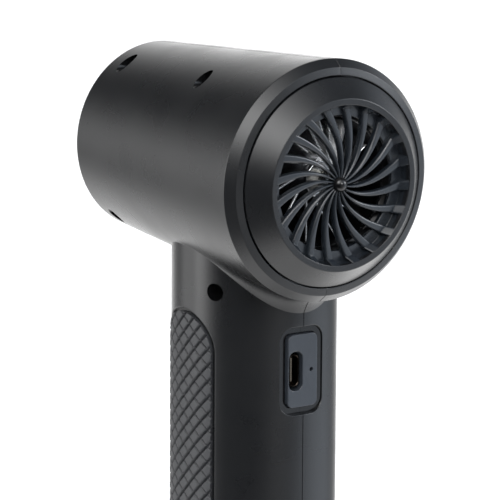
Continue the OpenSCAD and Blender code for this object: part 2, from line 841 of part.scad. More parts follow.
// Rubber ring with a groove for the shells' rib
module damper(y) {
    color("#1c1c1d") turned([
        [duct_out_r + 0.05, y - damper_w / 2],
        [damper_r, y - damper_w / 2],
        [damper_r, y - damper_groove_w / 2],
        [damper_groove_r, y - damper_groove_w / 2],
        [damper_groove_r, y + damper_groove_w / 2],
        [damper_r, y + damper_groove_w / 2],
        [damper_r, y + damper_w / 2],
        [duct_out_r + 0.05, y + damper_w / 2]]);
}

module front_damper() {
    damper(front_damper_y);
}

module rear_damper() {
    damper(rear_damper_y);
}

// Bladed wheel that drives the air
module impeller() {
    skirt = 1.5;
    color("#c3c6ca") difference() {
        union() {
            on_axis(impeller_back_y) rotate_extrude() polygon([
                [0, 0],
                [hub_back_r, 0],
                [hub_back_r, skirt],
                [hub_nose_r + (hub_back_r - hub_nose_r) * 0.35, impeller_len * 0.65],
                [hub_nose_r, impeller_len],
                [0, impeller_len]]);
            intersection() {
                tube(impeller_r, hub_nose_r - 1, impeller_back_y + skirt, impeller_nose_y - 0.8);
                on_axis(impeller_back_y + impeller_len / 2) for (i = [0:impeller_blades - 1]) {
                    rotate([0, 0, i * 360 / impeller_blades]) translate([0, duct_r / 2 + 1, 0])
                        rotate([0, impeller_pitch, 0])
                        cube([impeller_blade_t, duct_r + 2, 3 * impeller_len], center = true);
                }
            }
        }
        disc(shaft_r + shaft_fit, impeller_back_y - eps, impeller_nose_y + eps);
    }
}

module impeller_nut() {
    nut_h = 3;
    color("#8a6a3a") difference() {
        on_axis(impeller_nose_y + 0.05) cylinder(r = 3.4, h = nut_h - 0.4, $fn = 6);
        disc(shaft_r + shaft_fit, impeller_nose_y - eps, impeller_nose_y + nut_h + eps);
    }
}

module motor_shaft() {
    color("#b9bcc0") disc(shaft_r, cup_front_y - 1, impeller_nose_y + 2.4);
}

module rotor_magnet() {
    color("#5b5f66") tube(magnet_r, shaft_r + shaft_fit, core_y - 0.5, core_y + core_len + 0.5);
}

module bearing(y) {
    color("#b9bcc0") difference() {
        tube(bearing_r, shaft_r + shaft_fit, y, y + bearing_w);
        // Shield grooves on both faces
        for (face = [y, y + bearing_w - 0.3]) {
            tube(bearing_r - 0.7, shaft_r + 0.8, face - 0.01, face + 0.31);
        }
    }
}

module front_bearing() {
    bearing(front_bearing_y);
}

module rear_bearing() {
    bearing(rear_bearing_y + 1);
}

// Plate that closes the cup and seats the rear bearing
module bearing_carrier() {
    y0 = cup_front_y + 1.4 + fit / 2;
    color("#9a9da1") difference() {
        union() {
            disc(cup_in_r - 0.05, y0, y0 + carrier_t - 1);
            disc(bearing_r + 1.2, y0, rear_bearing_y + 1 + bearing_w + 0.3);
        }
        disc(bearing_r + shaft_fit, y0 - eps, rear_bearing_y + 1 + bearing_w);
        disc(shaft_r + 0.6, y0 - eps, core_y);
    }
}

// Laminated core: a ring with teeth that reach in to the rotor
module stator_core() {
    bore_r = magnet_r + air_gap;
    back_r = cup_in_r - 2.2;
    color("#6e7176") on_axis(core_y) linear_extrude(core_len) difference() {
        union() {
            difference() {
                circle(r = cup_in_r - 0.05);
                circle(r = back_r);
            }
            for (i = [0:tooth_count - 1]) rotate(i * 360 / tooth_count) {
                translate([(bore_r + back_r) / 2 + 0.2, 0])
                    square([back_r - bore_r + 0.8, tooth_w], center = true);
            }
        }
        circle(r = bore_r);
    }
}

// One copper coil round each tooth
module stator_windings() {
    bore_r = magnet_r + air_gap;
    back_r = cup_in_r - 2.2;
    coil_r0 = bore_r + 0.9;
    coil_r1 = back_r - 0.5;
    coil_side = 0.8;
    hole_w = tooth_w + 0.2;
    color("#b06a35") on_axis(core_y + core_len / 2) for (i = [0:tooth_count - 1]) {
        rotate([0, 0, i * 360 / tooth_count]) translate([(coil_r0 + coil_r1) / 2, 0, 0]) difference() {
            cube([coil_r1 - coil_r0, hole_w + 2 * coil_side, core_len + 2 * coil_over], center = true);
            cube([coil_r1 - coil_r0 + 1, hole_w, core_len + 0.2], center = true);
        }
    }
}

// Flexible lead swept along a path in the YZ plane at one x
module lead(x, path, r) {
    n = len(path);
    sides = 8;
    dirs = [for (i = [0:n - 1]) let (d = path[min(i + 1, n - 1)] - path[max(i - 1, 0)]) d / norm(d)];
    points = [for (i = [0:n - 1], k = [0:sides - 1]) let (a = 360 * k / sides)
        [x + r * cos(a), path[i][0] - r * sin(a) * dirs[i][1], path[i][1] + r * sin(a) * dirs[i][0]]];
    walls = [for (i = [0:n - 2], k = [0:sides - 1]) let (m = (k + 1) % sides)
        [i * sides + k, (i + 1) * sides + k, (i + 1) * sides + m, i * sides + m]];
    start = [for (k = [0:sides - 1]) k];
    finish = [for (k = [sides - 1:-1:0]) (n - 1) * sides + k];
    polyhedron(points, concat([start], walls, [finish]));
}

module motor_leads() {
    color("#a33b34") for (i = [-1:1]) lead(i * lead_pitch, lead_path, lead_r);
}

// Finger trigger: a hollow block with a finger hollow and a stop flange
module trigger() {
    z1 = trigger_z + trigger_len;
    color("#26272a") difference() {
        union() {
            intersection() {
                translate([0, 0, trigger_z]) linear_extrude(trigger_len)
                    translate([0, (trigger_face_y + flange_back_y) / 2])
                    rounded_rect(trigger_w, flange_back_y - trigger_face_y, trigger_corner_r);
                block(-trigger_w, trigger_w, trigger_face_y, flange_face_y, trigger_z, z1);
            }
            block(-flange_half_w, flange_half_w, flange_face_y, flange_back_y,
                trigger_z - flange_over, z1 + flange_over);
            block(-trigger_w / 2, trigger_w / 2, handle_front_y - 0.5, flange_back_y, trigger_z, z1);
        }
        // Finger hollow
        rod_x(finger_r, -trigger_w, trigger_w, trigger_face_y + 2 - finger_r, trigger_mid_z);
        // Room for the spring and the plunger
        block(-trigger_w / 2 + trigger_wall, trigger_w / 2 - trigger_wall, trigger_web_y, flange_back_y + eps,
            trigger_z + trigger_wall, z1 - trigger_wall);
    }
}

module switch_plunger() {
    color("#d8d6cf") rod_y(plunger_r, 0, trigger_web_y + 0.02, plunger_end_y, trigger_mid_z);
}

// Return spring: one unbroken wire wound round the plunger
module trigger_spring() {
    y0 = trigger_web_y + spring_seat + spring_wire_r;
    y1 = switch_face_y - spring_seat - spring_wire_r;
    steps = 8 * spring_turns;
    sides = 6;
    rise = (y1 - y0) / steps;
    centres = [for (i = [0:steps])
        [spring_coil_r * cos(45 * i), y0 + rise * i, spring_coil_r * sin(45 * i)]];
    points = [for (i = [0:steps], k = [0:sides - 1])
        let (a = 360 * k / sides, out = [cos(45 * i), 0, sin(45 * i)])
        centres[i] + spring_wire_r * (cos(a) * out + sin(a) * [0, 1, 0])];
    walls = [for (i = [0:steps - 1], k = [0:sides - 1]) let (m = (k + 1) % sides)
        [i * sides + k, i * sides + m, (i + 1) * sides + m, (i + 1) * sides + k]];
    start = [for (k = [sides - 1:-1:0]) k];
    finish = [for (k = [0:sides - 1]) steps * sides + k];
    gaps = [for (i = [0:steps - 8]) norm(centres[i + 8] - centres[i]) - 2 * spring_wire_r];
    echo(least_spring_gap = min(gaps));
    color("#b9bcc0") translate([0, 0, trigger_mid_z]) polyhedron(points, concat([start], walls, [finish]));
}

// Variable-speed switch that the plunger pushes into
module switch_body() {
    z0 = trigger_mid_z - switch_h / 2;
    color("#3a3a3d") {
        difference() {
            block(-switch_w / 2, switch_w / 2, switch_face_y, switch_back_y, z0, z0 + switch_h);
            rod_y(plunger_r + plunger_fit, 0, switch_face_y - eps,
                plunger_end_y + trigger_travel + 1, trigger_mid_z);
        }
        for (x = [-5, 0, 5]) rod_y(0.5, x, switch_back_y - eps, board_y - 0.02, z0 + 4);
    }
}

// Upright board that drives the motor
module control_board() {
    chip_w = 8;
    chip_z = board_z + 5;
    back_y = board_y + board_t;
    color("#1f5a3a") {
        block(-board_w / 2, board_w / 2, board_y, back_y, board_z, board_z + board_h);
        block(-chip_w / 2, chip_w / 2, back_y - 0.1, back_y + 1, chip_z, chip_z + chip_w);
    }
}

module power_transistors() {
    case_w = 4.8;
    case_h = 6;
    case_t = 1.08;
    pitch_x = 5.6;
    pitch_z = 7.5;
    bank_x = -6;
    bank_z = 17;
    face_y = board_y + board_t + 0.02;
    color("#222326") for (i = [-1:1], j = [0:1]) {
        x = i * pitch_x + bank_x;
        z = board_z + bank_z + j * pitch_z;
        block(x - case_w / 2, x + case_w / 2, face_y, face_y + case_t, z, z + case_h);
    }
}

module filter_capacitor() {
    can_r = 3.2;
    can_len = 6.98;
    can_x = 10.6;
    can_z = 22;
    face_y = board_y + board_t + 0.02;
    color("#2b3f6b") rod_y(can_r, can_x, face_y, face_y + can_len, board_z + can_z);
}

// Board that stands in the seam plane and carries the socket
module charging_board() {
    z0 = port_z - charge_board_h / 2;
    color("#1f5a3a") {
        block(charge_board_x, charge_board_x + board_t, charge_board_front_y, charge_board_back_y,
            z0, z0 + charge_board_h);
        block(charge_board_x + board_t - 0.1, charge_board_x + board_t + 1.2, charge_board_front_y + 1,
            charge_board_front_y + 5, port_z - 2.5, port_z + 2.5);
    }
}

module socket_form(w, h, y0, y1) {
    translate([socket_x, y1, port_z]) rotate([90, 0, 0]) linear_extrude(y1 - y0)
        rounded_rect(w, h, w / 2 - 0.01);
}

module usb_socket() {
    color("#c3c6ca") difference() {
        socket_form(socket_w, socket_h, socket_back_y, socket_face_y);
        socket_form(socket_w - 2 * socket_skin, socket_h - 2 * socket_skin,
            socket_back_y + 0.8, socket_face_y + eps);
    }
}

module usb_tongue() {
    tongue_t = 0.7;
    tongue_h = 6.7;
    color("#1a1a1b") block(socket_x - tongue_t / 2, socket_x + tongue_t / 2, socket_back_y + 0.82,
        socket_face_y - 0.6, port_z - tongue_h / 2, port_z + tongue_h / 2);
}

// Inset plate with the socket slot and the light's pinhole
module port_panel() {
    plate_back_y = port_face_y - port_plate_t;
    color("#4a4e55") difference() {
        union() {
            port_plate(port_panel_w, port_panel_h, port_panel_r, plate_back_y - 0.1, panel_face_y);
            port_plate(port_panel_w + 2 * port_flange_over, port_panel_h + 2 * port_flange_over,
                port_panel_r, plate_back_y - port_flange_t, plate_back_y);
        }
        translate([socket_x, panel_face_y + eps, port_z]) rotate([90, 0, 0])
            linear_extrude(panel_face_y - plate_back_y + port_flange_t + 2 * eps)
            rounded_rect(slot_w, slot_h, slot_w / 2 - 0.3);
        rod_y(light_r + 0.08, light_x, plate_back_y - port_flange_t - eps, panel_face_y + eps, port_z);
    }
}

// Light pipe from the board to the pinhole
module charge_light() {
    color("#e8ecef") {
        rod_y(light_r, light_x, charge_board_back_y - 2, panel_face_y - light_recess, port_z);
        block(light_x - 1, charge_board_x - 0.02, charge_board_back_y - 4, charge_board_back_y - 1.5,
            port_z - 1.2, port_z + 1.2);
    }
}

// Form of a grip pad: the part of the handle skin inside a round-ended outline
module grip_form(side, r0, r1, half_w) {
    z1 = axis_h - pad_drop + (half_w - pad_half_w);
    z0 = pad_z - (half_w - pad_half_w);
    intersection() {
        difference() {
            column(r1, pad_z - 5, axis_h);
            column(r0, pad_z - 6, axis_h + 1);
        }
        translate([side * handle_r / 2, -pad_shift, 0]) rotate([90, 0, side * 90]) linear_extrude(handle_r) {
            translate([0, z1 - half_w]) circle(r = half_w);
            translate([0, z0 + half_w]) circle(r = half_w);
            translate([-half_w, z0 + half_w]) square([2 * half_w, z1 - z0 - 2 * half_w]);
        }
    }
}

module left_grip() {
    color("#55575b") grip_form(1, handle_r - pad_sink + 0.03, handle_r + pad_proud, pad_half_w);
}

module right_grip() {
    color("#55575b") grip_form(-1, handle_r - pad_sink + 0.03, handle_r + pad_proud, pad_half_w);
}

// Centre of one cell in the triangular pack
function cell_place(i) = let (a = -90 + 120 * i) [cell_ring_r * cos(a), pack_shift + cell_ring_r * sin(a)];

module at_cell(i, z) {
    translate([cell_place(i)[0], cell_place(i)[1], z]) children();
}

module battery_cell(i) {
    groove_z = cell_len - 3;
    color("#2f6fb0") at_cell(i, cell_z) difference() {
        cylinder(r = cell_r, h = cell_len);
        // Rolled groove below the positive end, and the recess round its button
        translate([0, 0, groove_z - 0.5]) difference() {
            cylinder(r = cell_r + 1, h = 1);
            translate([0, 0, -1]) cylinder(r = cell_r - 0.4, h = 3);
        }
        translate([0, 0, cell_len - 0.4]) difference() {
            cylinder(r = cell_r - 1.6, h = 1);
            translate([0, 0, -1]) cylinder(r = cell_r * 0.35, h = 3);
        }
    }
}

module battery_cell_1() {
    battery_cell(0);
}

module battery_cell_2() {
    battery_cell(1);
}

module battery_cell_3() {
    battery_cell(2);
}

// Bar that joins two cells' centres, used for the straps and their channels
module strap_bar(i, j, w, z0, z1) {
    a = cell_place(i);
    b = cell_place(j);
    d = b - a;
    translate([(a[0] + b[0]) / 2, (a[1] + b[1]) / 2, z0]) rotate([0, 0, atan2(d[1], d[0])])
        translate([-norm(d) / 2, -w / 2, 0]) cube([norm(d), w, z1 - z0]);
}

// Plate with a pocket for each cell; the pockets open upwards from pocket_z
module cell_holder(z0, pocket_z0, pocket_z1, joined) {
    window_r = cell_r * 0.6;
    difference() {
        column(holder_r, z0, z0 + holder_t);
        for (i = [0:cell_count - 1]) {
            at_cell(i, pocket_z0) cylinder(r = cell_r + 0.1, h = pocket_z1 - pocket_z0);
            at_cell(i, z0 - eps) cylinder(r = window_r, h = holder_t + 2 * eps);
        }
        strap_bar(joined[0], joined[1], strap_w + 2 * fit, z0 - eps, z0 + holder_t + eps);
        // Relief for the boss of the lowest housing screw
        rod_x(low_boss_r + fit, -handle_r, handle_r, screw_low_y, screw_low_z);
    }
}

module lower_cell_holder() {
    color("#d9d7d0") cell_holder(lower_holder_z, cell_z, lower_holder_z + holder_t + eps, [0, 1]);
}

module upper_cell_holder() {
    color("#d9d7d0") {
        cell_holder(upper_holder_z, upper_holder_z - eps, cell_top_z, [1, 2]);
        for (a = [40, 140, 270]) {
            translate([(holder_r - 2.5) * cos(a), (holder_r - 2.5) * sin(a), stack_top_z - eps])
                cylinder(r = post_r, h = post_h + eps);
        }
    }
}

// Welded strips that join the cells in series
module cell_straps() {
    color("#c9ccd0") {
        strap_bar(0, 1, strap_w, cell_z - strap_t - 0.02, cell_z - 0.02);
        strap_bar(1, 2, strap_w, cell_top_z + 0.02, cell_top_z + strap_t + 0.02);
    }
}

// Protection board that lies on top of the pack
module battery_board() {
    color("#1f5a3a") {
        column(holder_r - 0.4, battery_board_z, battery_board_top_z);
        block(-5, 5, -12, -6, battery_board_top_z - 0.1, battery_board_top_z + 1.2);
    }
}

module battery_leads() {
    lead_w = 0.9;
    color("#a33b34") for (x = [-6, 6]) {
        translate([x, board_y - lead_w - 0.02, battery_board_top_z + 0.02])
            cylinder(r = lead_w, h = board_z + 3 - battery_board_top_z);
    }
}

module charge_leads() {
    lead_w = 0.6;
    color("#a33b34") for (y = [charge_board_front_y + 1.5, charge_board_front_y + 3.5]) {
        translate([charge_board_x - lead_w - 0.02, y, battery_board_top_z + 0.02])
            cylinder(r = lead_w, h = port_z - charge_board_h / 2 + 2 - battery_board_top_z);
    }
}

// Cap that closes the bottom of the handle
module base_cap() {
    color("#2c2e31") difference() {
        union() {
            column(handle_r - 0.8, foot_stand, foot_stand + 0.8);
            column(handle_r, foot_stand + 0.8, cap_top_z);
            difference() {
                column(handle_in_r - fit, cap_top_z - 0.1, collar_top_z);
                column(handle_in_r - fit - 2, cap_top_z, collar_top_z + eps);
            }
        }
        column(handle_r - 1.5, foot_stand - eps, foot_t);
        at_base_screws() {
            translate([0, 0, foot_t - eps]) cylinder(r = base_head_r + 0.2, h = base_seat_z - foot_t + eps);
            translate([0, 0, foot_t]) cylinder(r = base_screw_r + 0.15, h = cap_top_z);
            translate([0, 0, cap_top_z]) cylinder(r = base_boss_r + fit, h = collar_h + eps);
        }
    }
}

module base_foot() {
    color("#1c1c1d") column(handle_r - 1.7, 0, foot_t - 0.02);
}

module base_screws() {
    color("#2a2a2c") at_base_screws() {
        translate([0, 0, base_seat_z - base_head_h]) cylinder(r = base_head_r, h = base_head_h);
        translate([0, 0, base_seat_z - 0.1]) cylinder(r = base_screw_r, h = collar_top_z - base_seat_z - 0.6);
    }
}

left_shell();
right_shell();
rear_bezel();
intake_grille();
bellmouth();
fan_housing();
outlet_nozzle();
tail_cone();
front_damper();
rear_damper();
impeller();
impeller_nut();
motor_shaft();
rotor_magnet();
front_bearing();
rear_bearing();
bearing_carrier();
stator_core();
stator_windings();
motor_leads();
trigger();
switch_plunger();
trigger_spring();
switch_body();
control_board();
power_transistors();
filter_capacitor();
charging_board();
usb_socket();
usb_tongue();
port_panel();
charge_light();
left_grip();
right_grip();
battery_cell_1();
battery_cell_2();
battery_cell_3();
lower_cell_holder();
upper_cell_holder();
cell_straps();
battery_board();
battery_leads();
charge_leads();
base_cap();
base_foot();
base_screws();
housing_screws();
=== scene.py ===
# %% [markdown]
# A cordless turbine blower for drying cars, dressed over its packed construction model.
# Every length below is in millimetres, unless a comment says otherwise, until the factor MM turns it into
# Blender's metres. The origin is the centre of the handle's flat underside, +Z runs up the handle, and the
# air leaves along -Y.

import json
from math import cos, radians, sin, sqrt

import bmesh
import bpy
import numpy as np
from mathutils import Matrix, Vector


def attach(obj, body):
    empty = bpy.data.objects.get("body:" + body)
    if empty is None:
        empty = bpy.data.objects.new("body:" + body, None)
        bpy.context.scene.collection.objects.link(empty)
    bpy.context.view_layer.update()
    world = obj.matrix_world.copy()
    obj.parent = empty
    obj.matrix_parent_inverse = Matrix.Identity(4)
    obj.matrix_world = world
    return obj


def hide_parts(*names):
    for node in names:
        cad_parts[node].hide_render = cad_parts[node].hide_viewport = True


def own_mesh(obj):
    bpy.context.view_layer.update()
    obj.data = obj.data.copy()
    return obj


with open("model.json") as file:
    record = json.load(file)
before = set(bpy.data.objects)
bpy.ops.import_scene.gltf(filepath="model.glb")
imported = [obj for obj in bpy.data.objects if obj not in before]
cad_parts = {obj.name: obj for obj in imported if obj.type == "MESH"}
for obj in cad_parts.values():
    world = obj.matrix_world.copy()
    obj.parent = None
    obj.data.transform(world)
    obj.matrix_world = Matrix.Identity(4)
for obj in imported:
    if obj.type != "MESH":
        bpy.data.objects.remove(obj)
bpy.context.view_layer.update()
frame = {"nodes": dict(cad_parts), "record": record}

# %% [markdown]
# The camera stands behind the blower, on the side of the screw holes, and looks slightly down along the
# barrel. A long lens keeps the ring and the handle almost free of perspective.

# %% Camera
camera_place = Vector((572.96, 831.53, 344.22))
camera_aim = Vector((1.45, 0.0, 130.65))
camera_roll = radians(0.33)
lens_mm, sensor_mm, sight_m = 273.7, 36, 20
MM = 0.001

camera_data = bpy.data.cameras.new("camera")
camera_data.lens = lens_mm
camera_data.sensor_width = sensor_mm
camera = bpy.data.objects.new("camera", camera_data)
bpy.context.scene.collection.objects.link(camera)
look = (camera_aim - camera_place).to_track_quat("-Z", "Y").to_matrix()
camera.matrix_world = Matrix.Translation(camera_place * MM) @ (
    look @ Matrix.Rotation(camera_roll, 3, "Z")).to_4x4()
camera_data.clip_end = sight_m
bpy.context.scene.camera = camera
print("camera distance", round((camera_aim - camera_place).length), "mm")

# %% [markdown]
# Surfaces are made as whole grids of points, because a moulded or turned form is a formula over two
# parameters. A grid becomes quads, several grids are joined into one mesh, doubled points along their
# shared edges are merged, and the normals are turned outwards.


# %% Grids of points
def grid_faces(rows, cols, closed=False):
    """Quads between neighbouring points of a grid stored row by row; closed joins last and first column."""
    r = np.arange(rows - 1)[:, None] * cols
    c = np.arange(cols if closed else cols - 1)[None, :]
    n = (c + 1) % cols
    return np.stack([r + c, r + n, r + cols + n, r + cols + c], -1).reshape(-1, 4)


def sheet(points, closed=False):
    """A grid of points (rows, columns, 3) with its quads."""
    rows, cols = points.shape[:2]
    return points.reshape(-1, 3), grid_faces(rows, cols, closed)


def tube_part(points):
    """A closed body: rows are cross-sections, columns run round them, and both ends are fanned shut."""
    rows, cols = points.shape[:2]
    flat, faces = sheet(points, closed=True)
    ends = np.stack([points[0].mean(0), points[-1].mean(0)])
    ring = np.arange(cols)
    turn = (ring + 1) % cols
    first = np.stack([np.full(cols, rows * cols), turn, ring, ring], -1)
    last = np.stack([np.full(cols, rows * cols + 1), ring, turn, turn], -1) + [
        [0, (rows - 1) * cols, (rows - 1) * cols, (rows - 1) * cols]]
    return np.concatenate([flat, ends]), np.concatenate([faces, first, last])


# %% One mesh from many grids
merge_reach = 1e-6  # metres: points closer than this become one


def mesh_of(name, parts):
    """One mesh from (points in mm, quads) parts, with its faces turned outwards; a quad whose last two
    corners agree is a triangle."""
    offset, points, faces = 0, [], []
    for part_points, part_faces in parts:
        points.append(part_points)
        faces.append(part_faces + offset)
        offset += len(part_points)
    points, faces = np.concatenate(points), np.concatenate(faces)
    triangle = faces[:, 2] == faces[:, 3]
    corners = np.where(triangle, 3, 4)
    loops = faces.reshape(-1)[np.stack([np.ones_like(triangle)] * 3 + [~triangle], -1).reshape(-1)]
    mesh = bpy.data.meshes.new(name)
    mesh.vertices.add(len(points))
    mesh.vertices.foreach_set("co", (points * MM).astype(np.float32).ravel())
    mesh.loops.add(len(loops))
    mesh.loops.foreach_set("vertex_index", loops.astype(np.int32))
    mesh.polygons.add(len(faces))
    mesh.polygons.foreach_set("loop_start", (np.cumsum(corners) - corners).astype(np.int32))
    mesh.update(calc_edges=True)
    tidy = bmesh.new()
    tidy.from_mesh(mesh)
    bmesh.ops.remove_doubles(tidy, verts=tidy.verts, dist=merge_reach)
    bmesh.ops.dissolve_degenerate(tidy, edges=tidy.edges, dist=merge_reach / 10)
    bmesh.ops.recalc_face_normals(tidy, faces=tidy.faces)
    tidy.to_mesh(mesh)
    tidy.free()
    mesh.validate()
    return mesh


def formed(name, parts):
    """A new object in the scene, made from its surfaces."""
    made = bpy.data.objects.new(name, mesh_of(name, parts))
    bpy.context.scene.collection.objects.link(made)
    return made


# %% [markdown]
# Bosses are joined and openings are cut with exact booleans, as a mould's inserts would form them. The
# result is kept as a plain mesh, so that nothing has to be worked out again when the model is posed.


# %% Joining and cutting
def combined(target, operation, helpers):
    """The target after a boolean with each helper in turn; the helpers are removed."""
    for helper in helpers:
        step = target.modifiers.new("step", "BOOLEAN")
        step.operation = operation
        step.solver = "EXACT"
        step.object = helper
    graph = bpy.context.evaluated_depsgraph_get()
    result = bpy.data.meshes.new_from_object(target.evaluated_get(graph))
    target.modifiers.clear()
    target.data = result
    for helper in helpers:
        bpy.data.objects.remove(helper)
    return target


# %% [markdown]
# A finished piece takes the place of one node of the construction model: it moves with the same body and
# keeps that node's material slot. Edges sharper than an angle stay crisp, and the normals of the small
# rounds lean on the large faces beside them, so that wide surfaces stay calm.

# %% Finishing a piece
slot_of = {subpart["node"]: subpart["material_slot"] for subpart in frame["record"]["subparts"]}
face_slack = 0.02  # a face's centre counts as lying on a surface within this


def finish_piece(made, node, body="housing", sharp=30):
    """Smooth shading with crisp edges above an angle; then the slot's finish, body, slot and CAD node."""
    made.data.shade_smooth()
    made.data.set_sharp_from_angle(angle=radians(sharp))
    level = made.modifiers.new("large_faces_lead", "WEIGHTED_NORMAL")
    level.keep_sharp = True
    made.data.materials.clear()
    made.data.materials.append(finishes[slot_of[node]])
    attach(made, body)
    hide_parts(node)
    print(f"{made.name}: {len(made.data.polygons)} faces")
    return made


def piece(name, node, parts, body="housing", sharp=30):
    """A finished piece straight from its surfaces."""
    return finish_piece(formed(name, parts), node, body, sharp)


def blacken_faces(made, chosen):
    """Gives the gloss black finish to the faces whose centres, as x, y and z in millimetres, are chosen."""
    # On the housings this gloss black is painted shade in the screw holes and on the port's sunken floor.
    made.data.materials.append(finishes["bellmouth_abs"])
    centres = np.empty(len(made.data.polygons) * 3)
    made.data.polygons.foreach_get("center", centres)
    picked = chosen(*(centres.reshape(-1, 3).T / MM))
    made.data.polygons.foreach_set("material_index", picked.astype(np.int32))
    made.data.update()
    print(made.name, "has", int(picked.sum()), "polished faces")


# %% [markdown]
# Most mouldings have small rounds on their edges, and those rounds draw the thin light lines that make
# a dark object readable. An outline is therefore given by its corners, each with a radius.


# %% Outlines with round corners
side_share = 0.48  # an arc takes no more than this share of either side, so that neighbours never cross


def rounded(corners, closed=True, steps=5):
    """Outline from (a, b, radius) corners: each corner becomes an arc that is tangent to both its sides."""
    out = []
    count = len(corners)
    for i, (a, b, radius) in enumerate(corners):
        here = np.array([a, b], float)
        if radius <= 0 or (not closed and i in (0, count - 1)):
            out.append(here[None])
            continue
        back = np.array(corners[i - 1][:2], float) - here
        ahead = np.array(corners[(i + 1) % count][:2], float) - here
        back_length, ahead_length = np.hypot(*back), np.hypot(*ahead)
        back, ahead = back / back_length, ahead / ahead_length
        half = np.arccos(np.clip(back @ ahead, -1, 1)) / 2
        reach = min(radius / np.tan(half), side_share * back_length, side_share * ahead_length)
        radius = reach * np.tan(half)
        centre = here + (back + ahead) / np.hypot(*(back + ahead)) * radius / np.sin(half)
        start, end = here + back * reach - centre, here + ahead * reach - centre
        angle = np.pi - 2 * half
        t = np.linspace(0, 1, steps + 1)[:, None]
        arc = (np.sin((1 - t) * angle) * start + np.sin(t * angle) * end) / np.sin(angle)
        out.append(centre + arc)
    return np.concatenate(out)


def stepped(outline, length):
    """The closed outline with extra points, so that no stretch is longer than length."""
    stretches = []
    for start, end in zip(outline, np.roll(outline, -1, 0)):
        count = max(1, int(np.ceil(np.hypot(*(end - start)) / length)))
        stretches.append(start + (end - start) * np.arange(count)[:, None] / count)
    return np.concatenate(stretches)


def turned(outline, steps):
    """A closed outline of (radius, y) points carried round the barrel axis."""
    angle = np.linspace(0, 2 * np.pi, steps, endpoint=False)[None]
    r, y = outline[:, :1], outline[:, 1:]
    points = np.stack([r * np.cos(angle), y + 0 * angle, axis_h + r * np.sin(angle)], -1)
    points = np.concatenate([points, points[:1]])
    return sheet(points, closed=True)


def rounded_box_outline(width, height, radius, steps=8):
    """Outline of a rectangle with round corners, centred on zero."""
    w, h = width / 2, height / 2
    return rounded([(w, -h, radius), (w, h, radius), (-w, h, radius), (-w, -h, radius)], steps=steps)


# %% [markdown]
# The driving sizes repeat those of the construction model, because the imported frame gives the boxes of
# its nodes but not the radii and places inside them.

# %% Sizes of the blower
axis_h = 155.0  # height of the barrel axis
barrel_rear_r, barrel_front_r = 32.5, 26.5
barrel_back, barrel_fore = 33.0, 49.3  # how far the cone runs back and forth from the handle's middle
cone_slope = (barrel_rear_r - barrel_front_r) / (barrel_back + barrel_fore)
barrel_floor_z = axis_h - 28  # above it the skin is the barrel's, below it the handle's
rear_face_y, mouth_r = 36.0, 28.3
handle_r, oval_off = 21.3, 2.2  # the handle's section: two half circles, each moved off the middle
neck_reach, neck_drop = 5.9, 5.7  # the neck's hollow behind the handle: outwards and down
base_top = 4.5
shell_wall = 1.9
trigger_low, trigger_high, trigger_half = 87.0, 116.0, 7.0
port_z, port_face_y, panel_face_y = 101.6, 21.9, 23.2
# place along the barrel axis and height of each screw
screw_places = [(-41.2, axis_h + 22.5), (-42.0, axis_h - 20.2), (1.2, axis_h + 24.2),
                (10.1, axis_h - 32.0), (16.8, 20.0)]
barrel_hole_r, handle_hole_r, screw_seat = 2.12, 2.4, 3.5


def hole_r(z):
    """Radius of the screw hole at a height: those in the handle are a little wider."""
    return barrel_hole_r if z > barrel_floor_z else handle_hole_r


def barrel_r(y):
    """Outer radius of the barrel's cone at a place along the axis."""
    return barrel_rear_r - cone_slope * (barrel_back - y)


def oval(s):
    """Point and outward normal of the handle's section: s is the arc length from the middle of its +X
    side towards +Y. The flat side covers the first oval_off, then a round of handle_r follows."""
    over = np.maximum(np.abs(s) - oval_off, 0) / handle_r
    sign = np.sign(s)
    normal = np.stack([np.cos(over), sign * np.sin(over)], -1)
    point = handle_r * normal
    point[..., 1] += sign * np.minimum(np.abs(s), oval_off)
    return point, normal


half_turn = oval_off + handle_r * np.pi / 2
print("half of the handle's girth:", round(2 * half_turn, 1), "mm")

# %% [markdown]
# Colours are written as the sRGB hex value that the surface shows in plain light, and one function
# turns them into the linear numbers that shaders use.


# %% Shader helpers
def linear(hex_colour):
    """Linear RGBA from an sRGB hex colour."""
    srgb = np.array([int(hex_colour[i:i + 2], 16) for i in (1, 3, 5)]) / 255
    rgb = np.where(srgb <= 0.04045, srgb / 12.92, ((srgb + 0.055) / 1.055) ** 2.4)
    return (*rgb.tolist(), 1.0)


def add(tree, kind, inputs=None, **settings):
    """Adds one node: settings are its properties, inputs give a socket a value or link it to an output."""
    made = tree.nodes.new(kind)
    for key, value in settings.items():
        setattr(made, key, value)
    for key, value in (inputs or {}).items():
        if isinstance(value, bpy.types.NodeSocket):
            tree.links.new(value, made.inputs[key])
        else:
            made.inputs[key].default_value = value
    return made


def empty_material(name):
    """A material with no nodes in it."""
    made = bpy.data.materials.new(name)
    made.use_nodes = True
    made.node_tree.nodes.clear()
    return made, made.node_tree


def grains_per_metre(size_mm):
    """Scale of a texture whose features are to be size_mm apart."""
    return 1000 / size_mm


# %% [markdown]
# Spark-eroded mould steel leaves a fine, even grain on ABS. The grain is what makes the plastic satin:
# it widens highlights without hiding them. A real grain is about 0.1 mm wide and would vanish from here,
# so it is drawn some three times as coarse. A slow variation in roughness stands for handling.


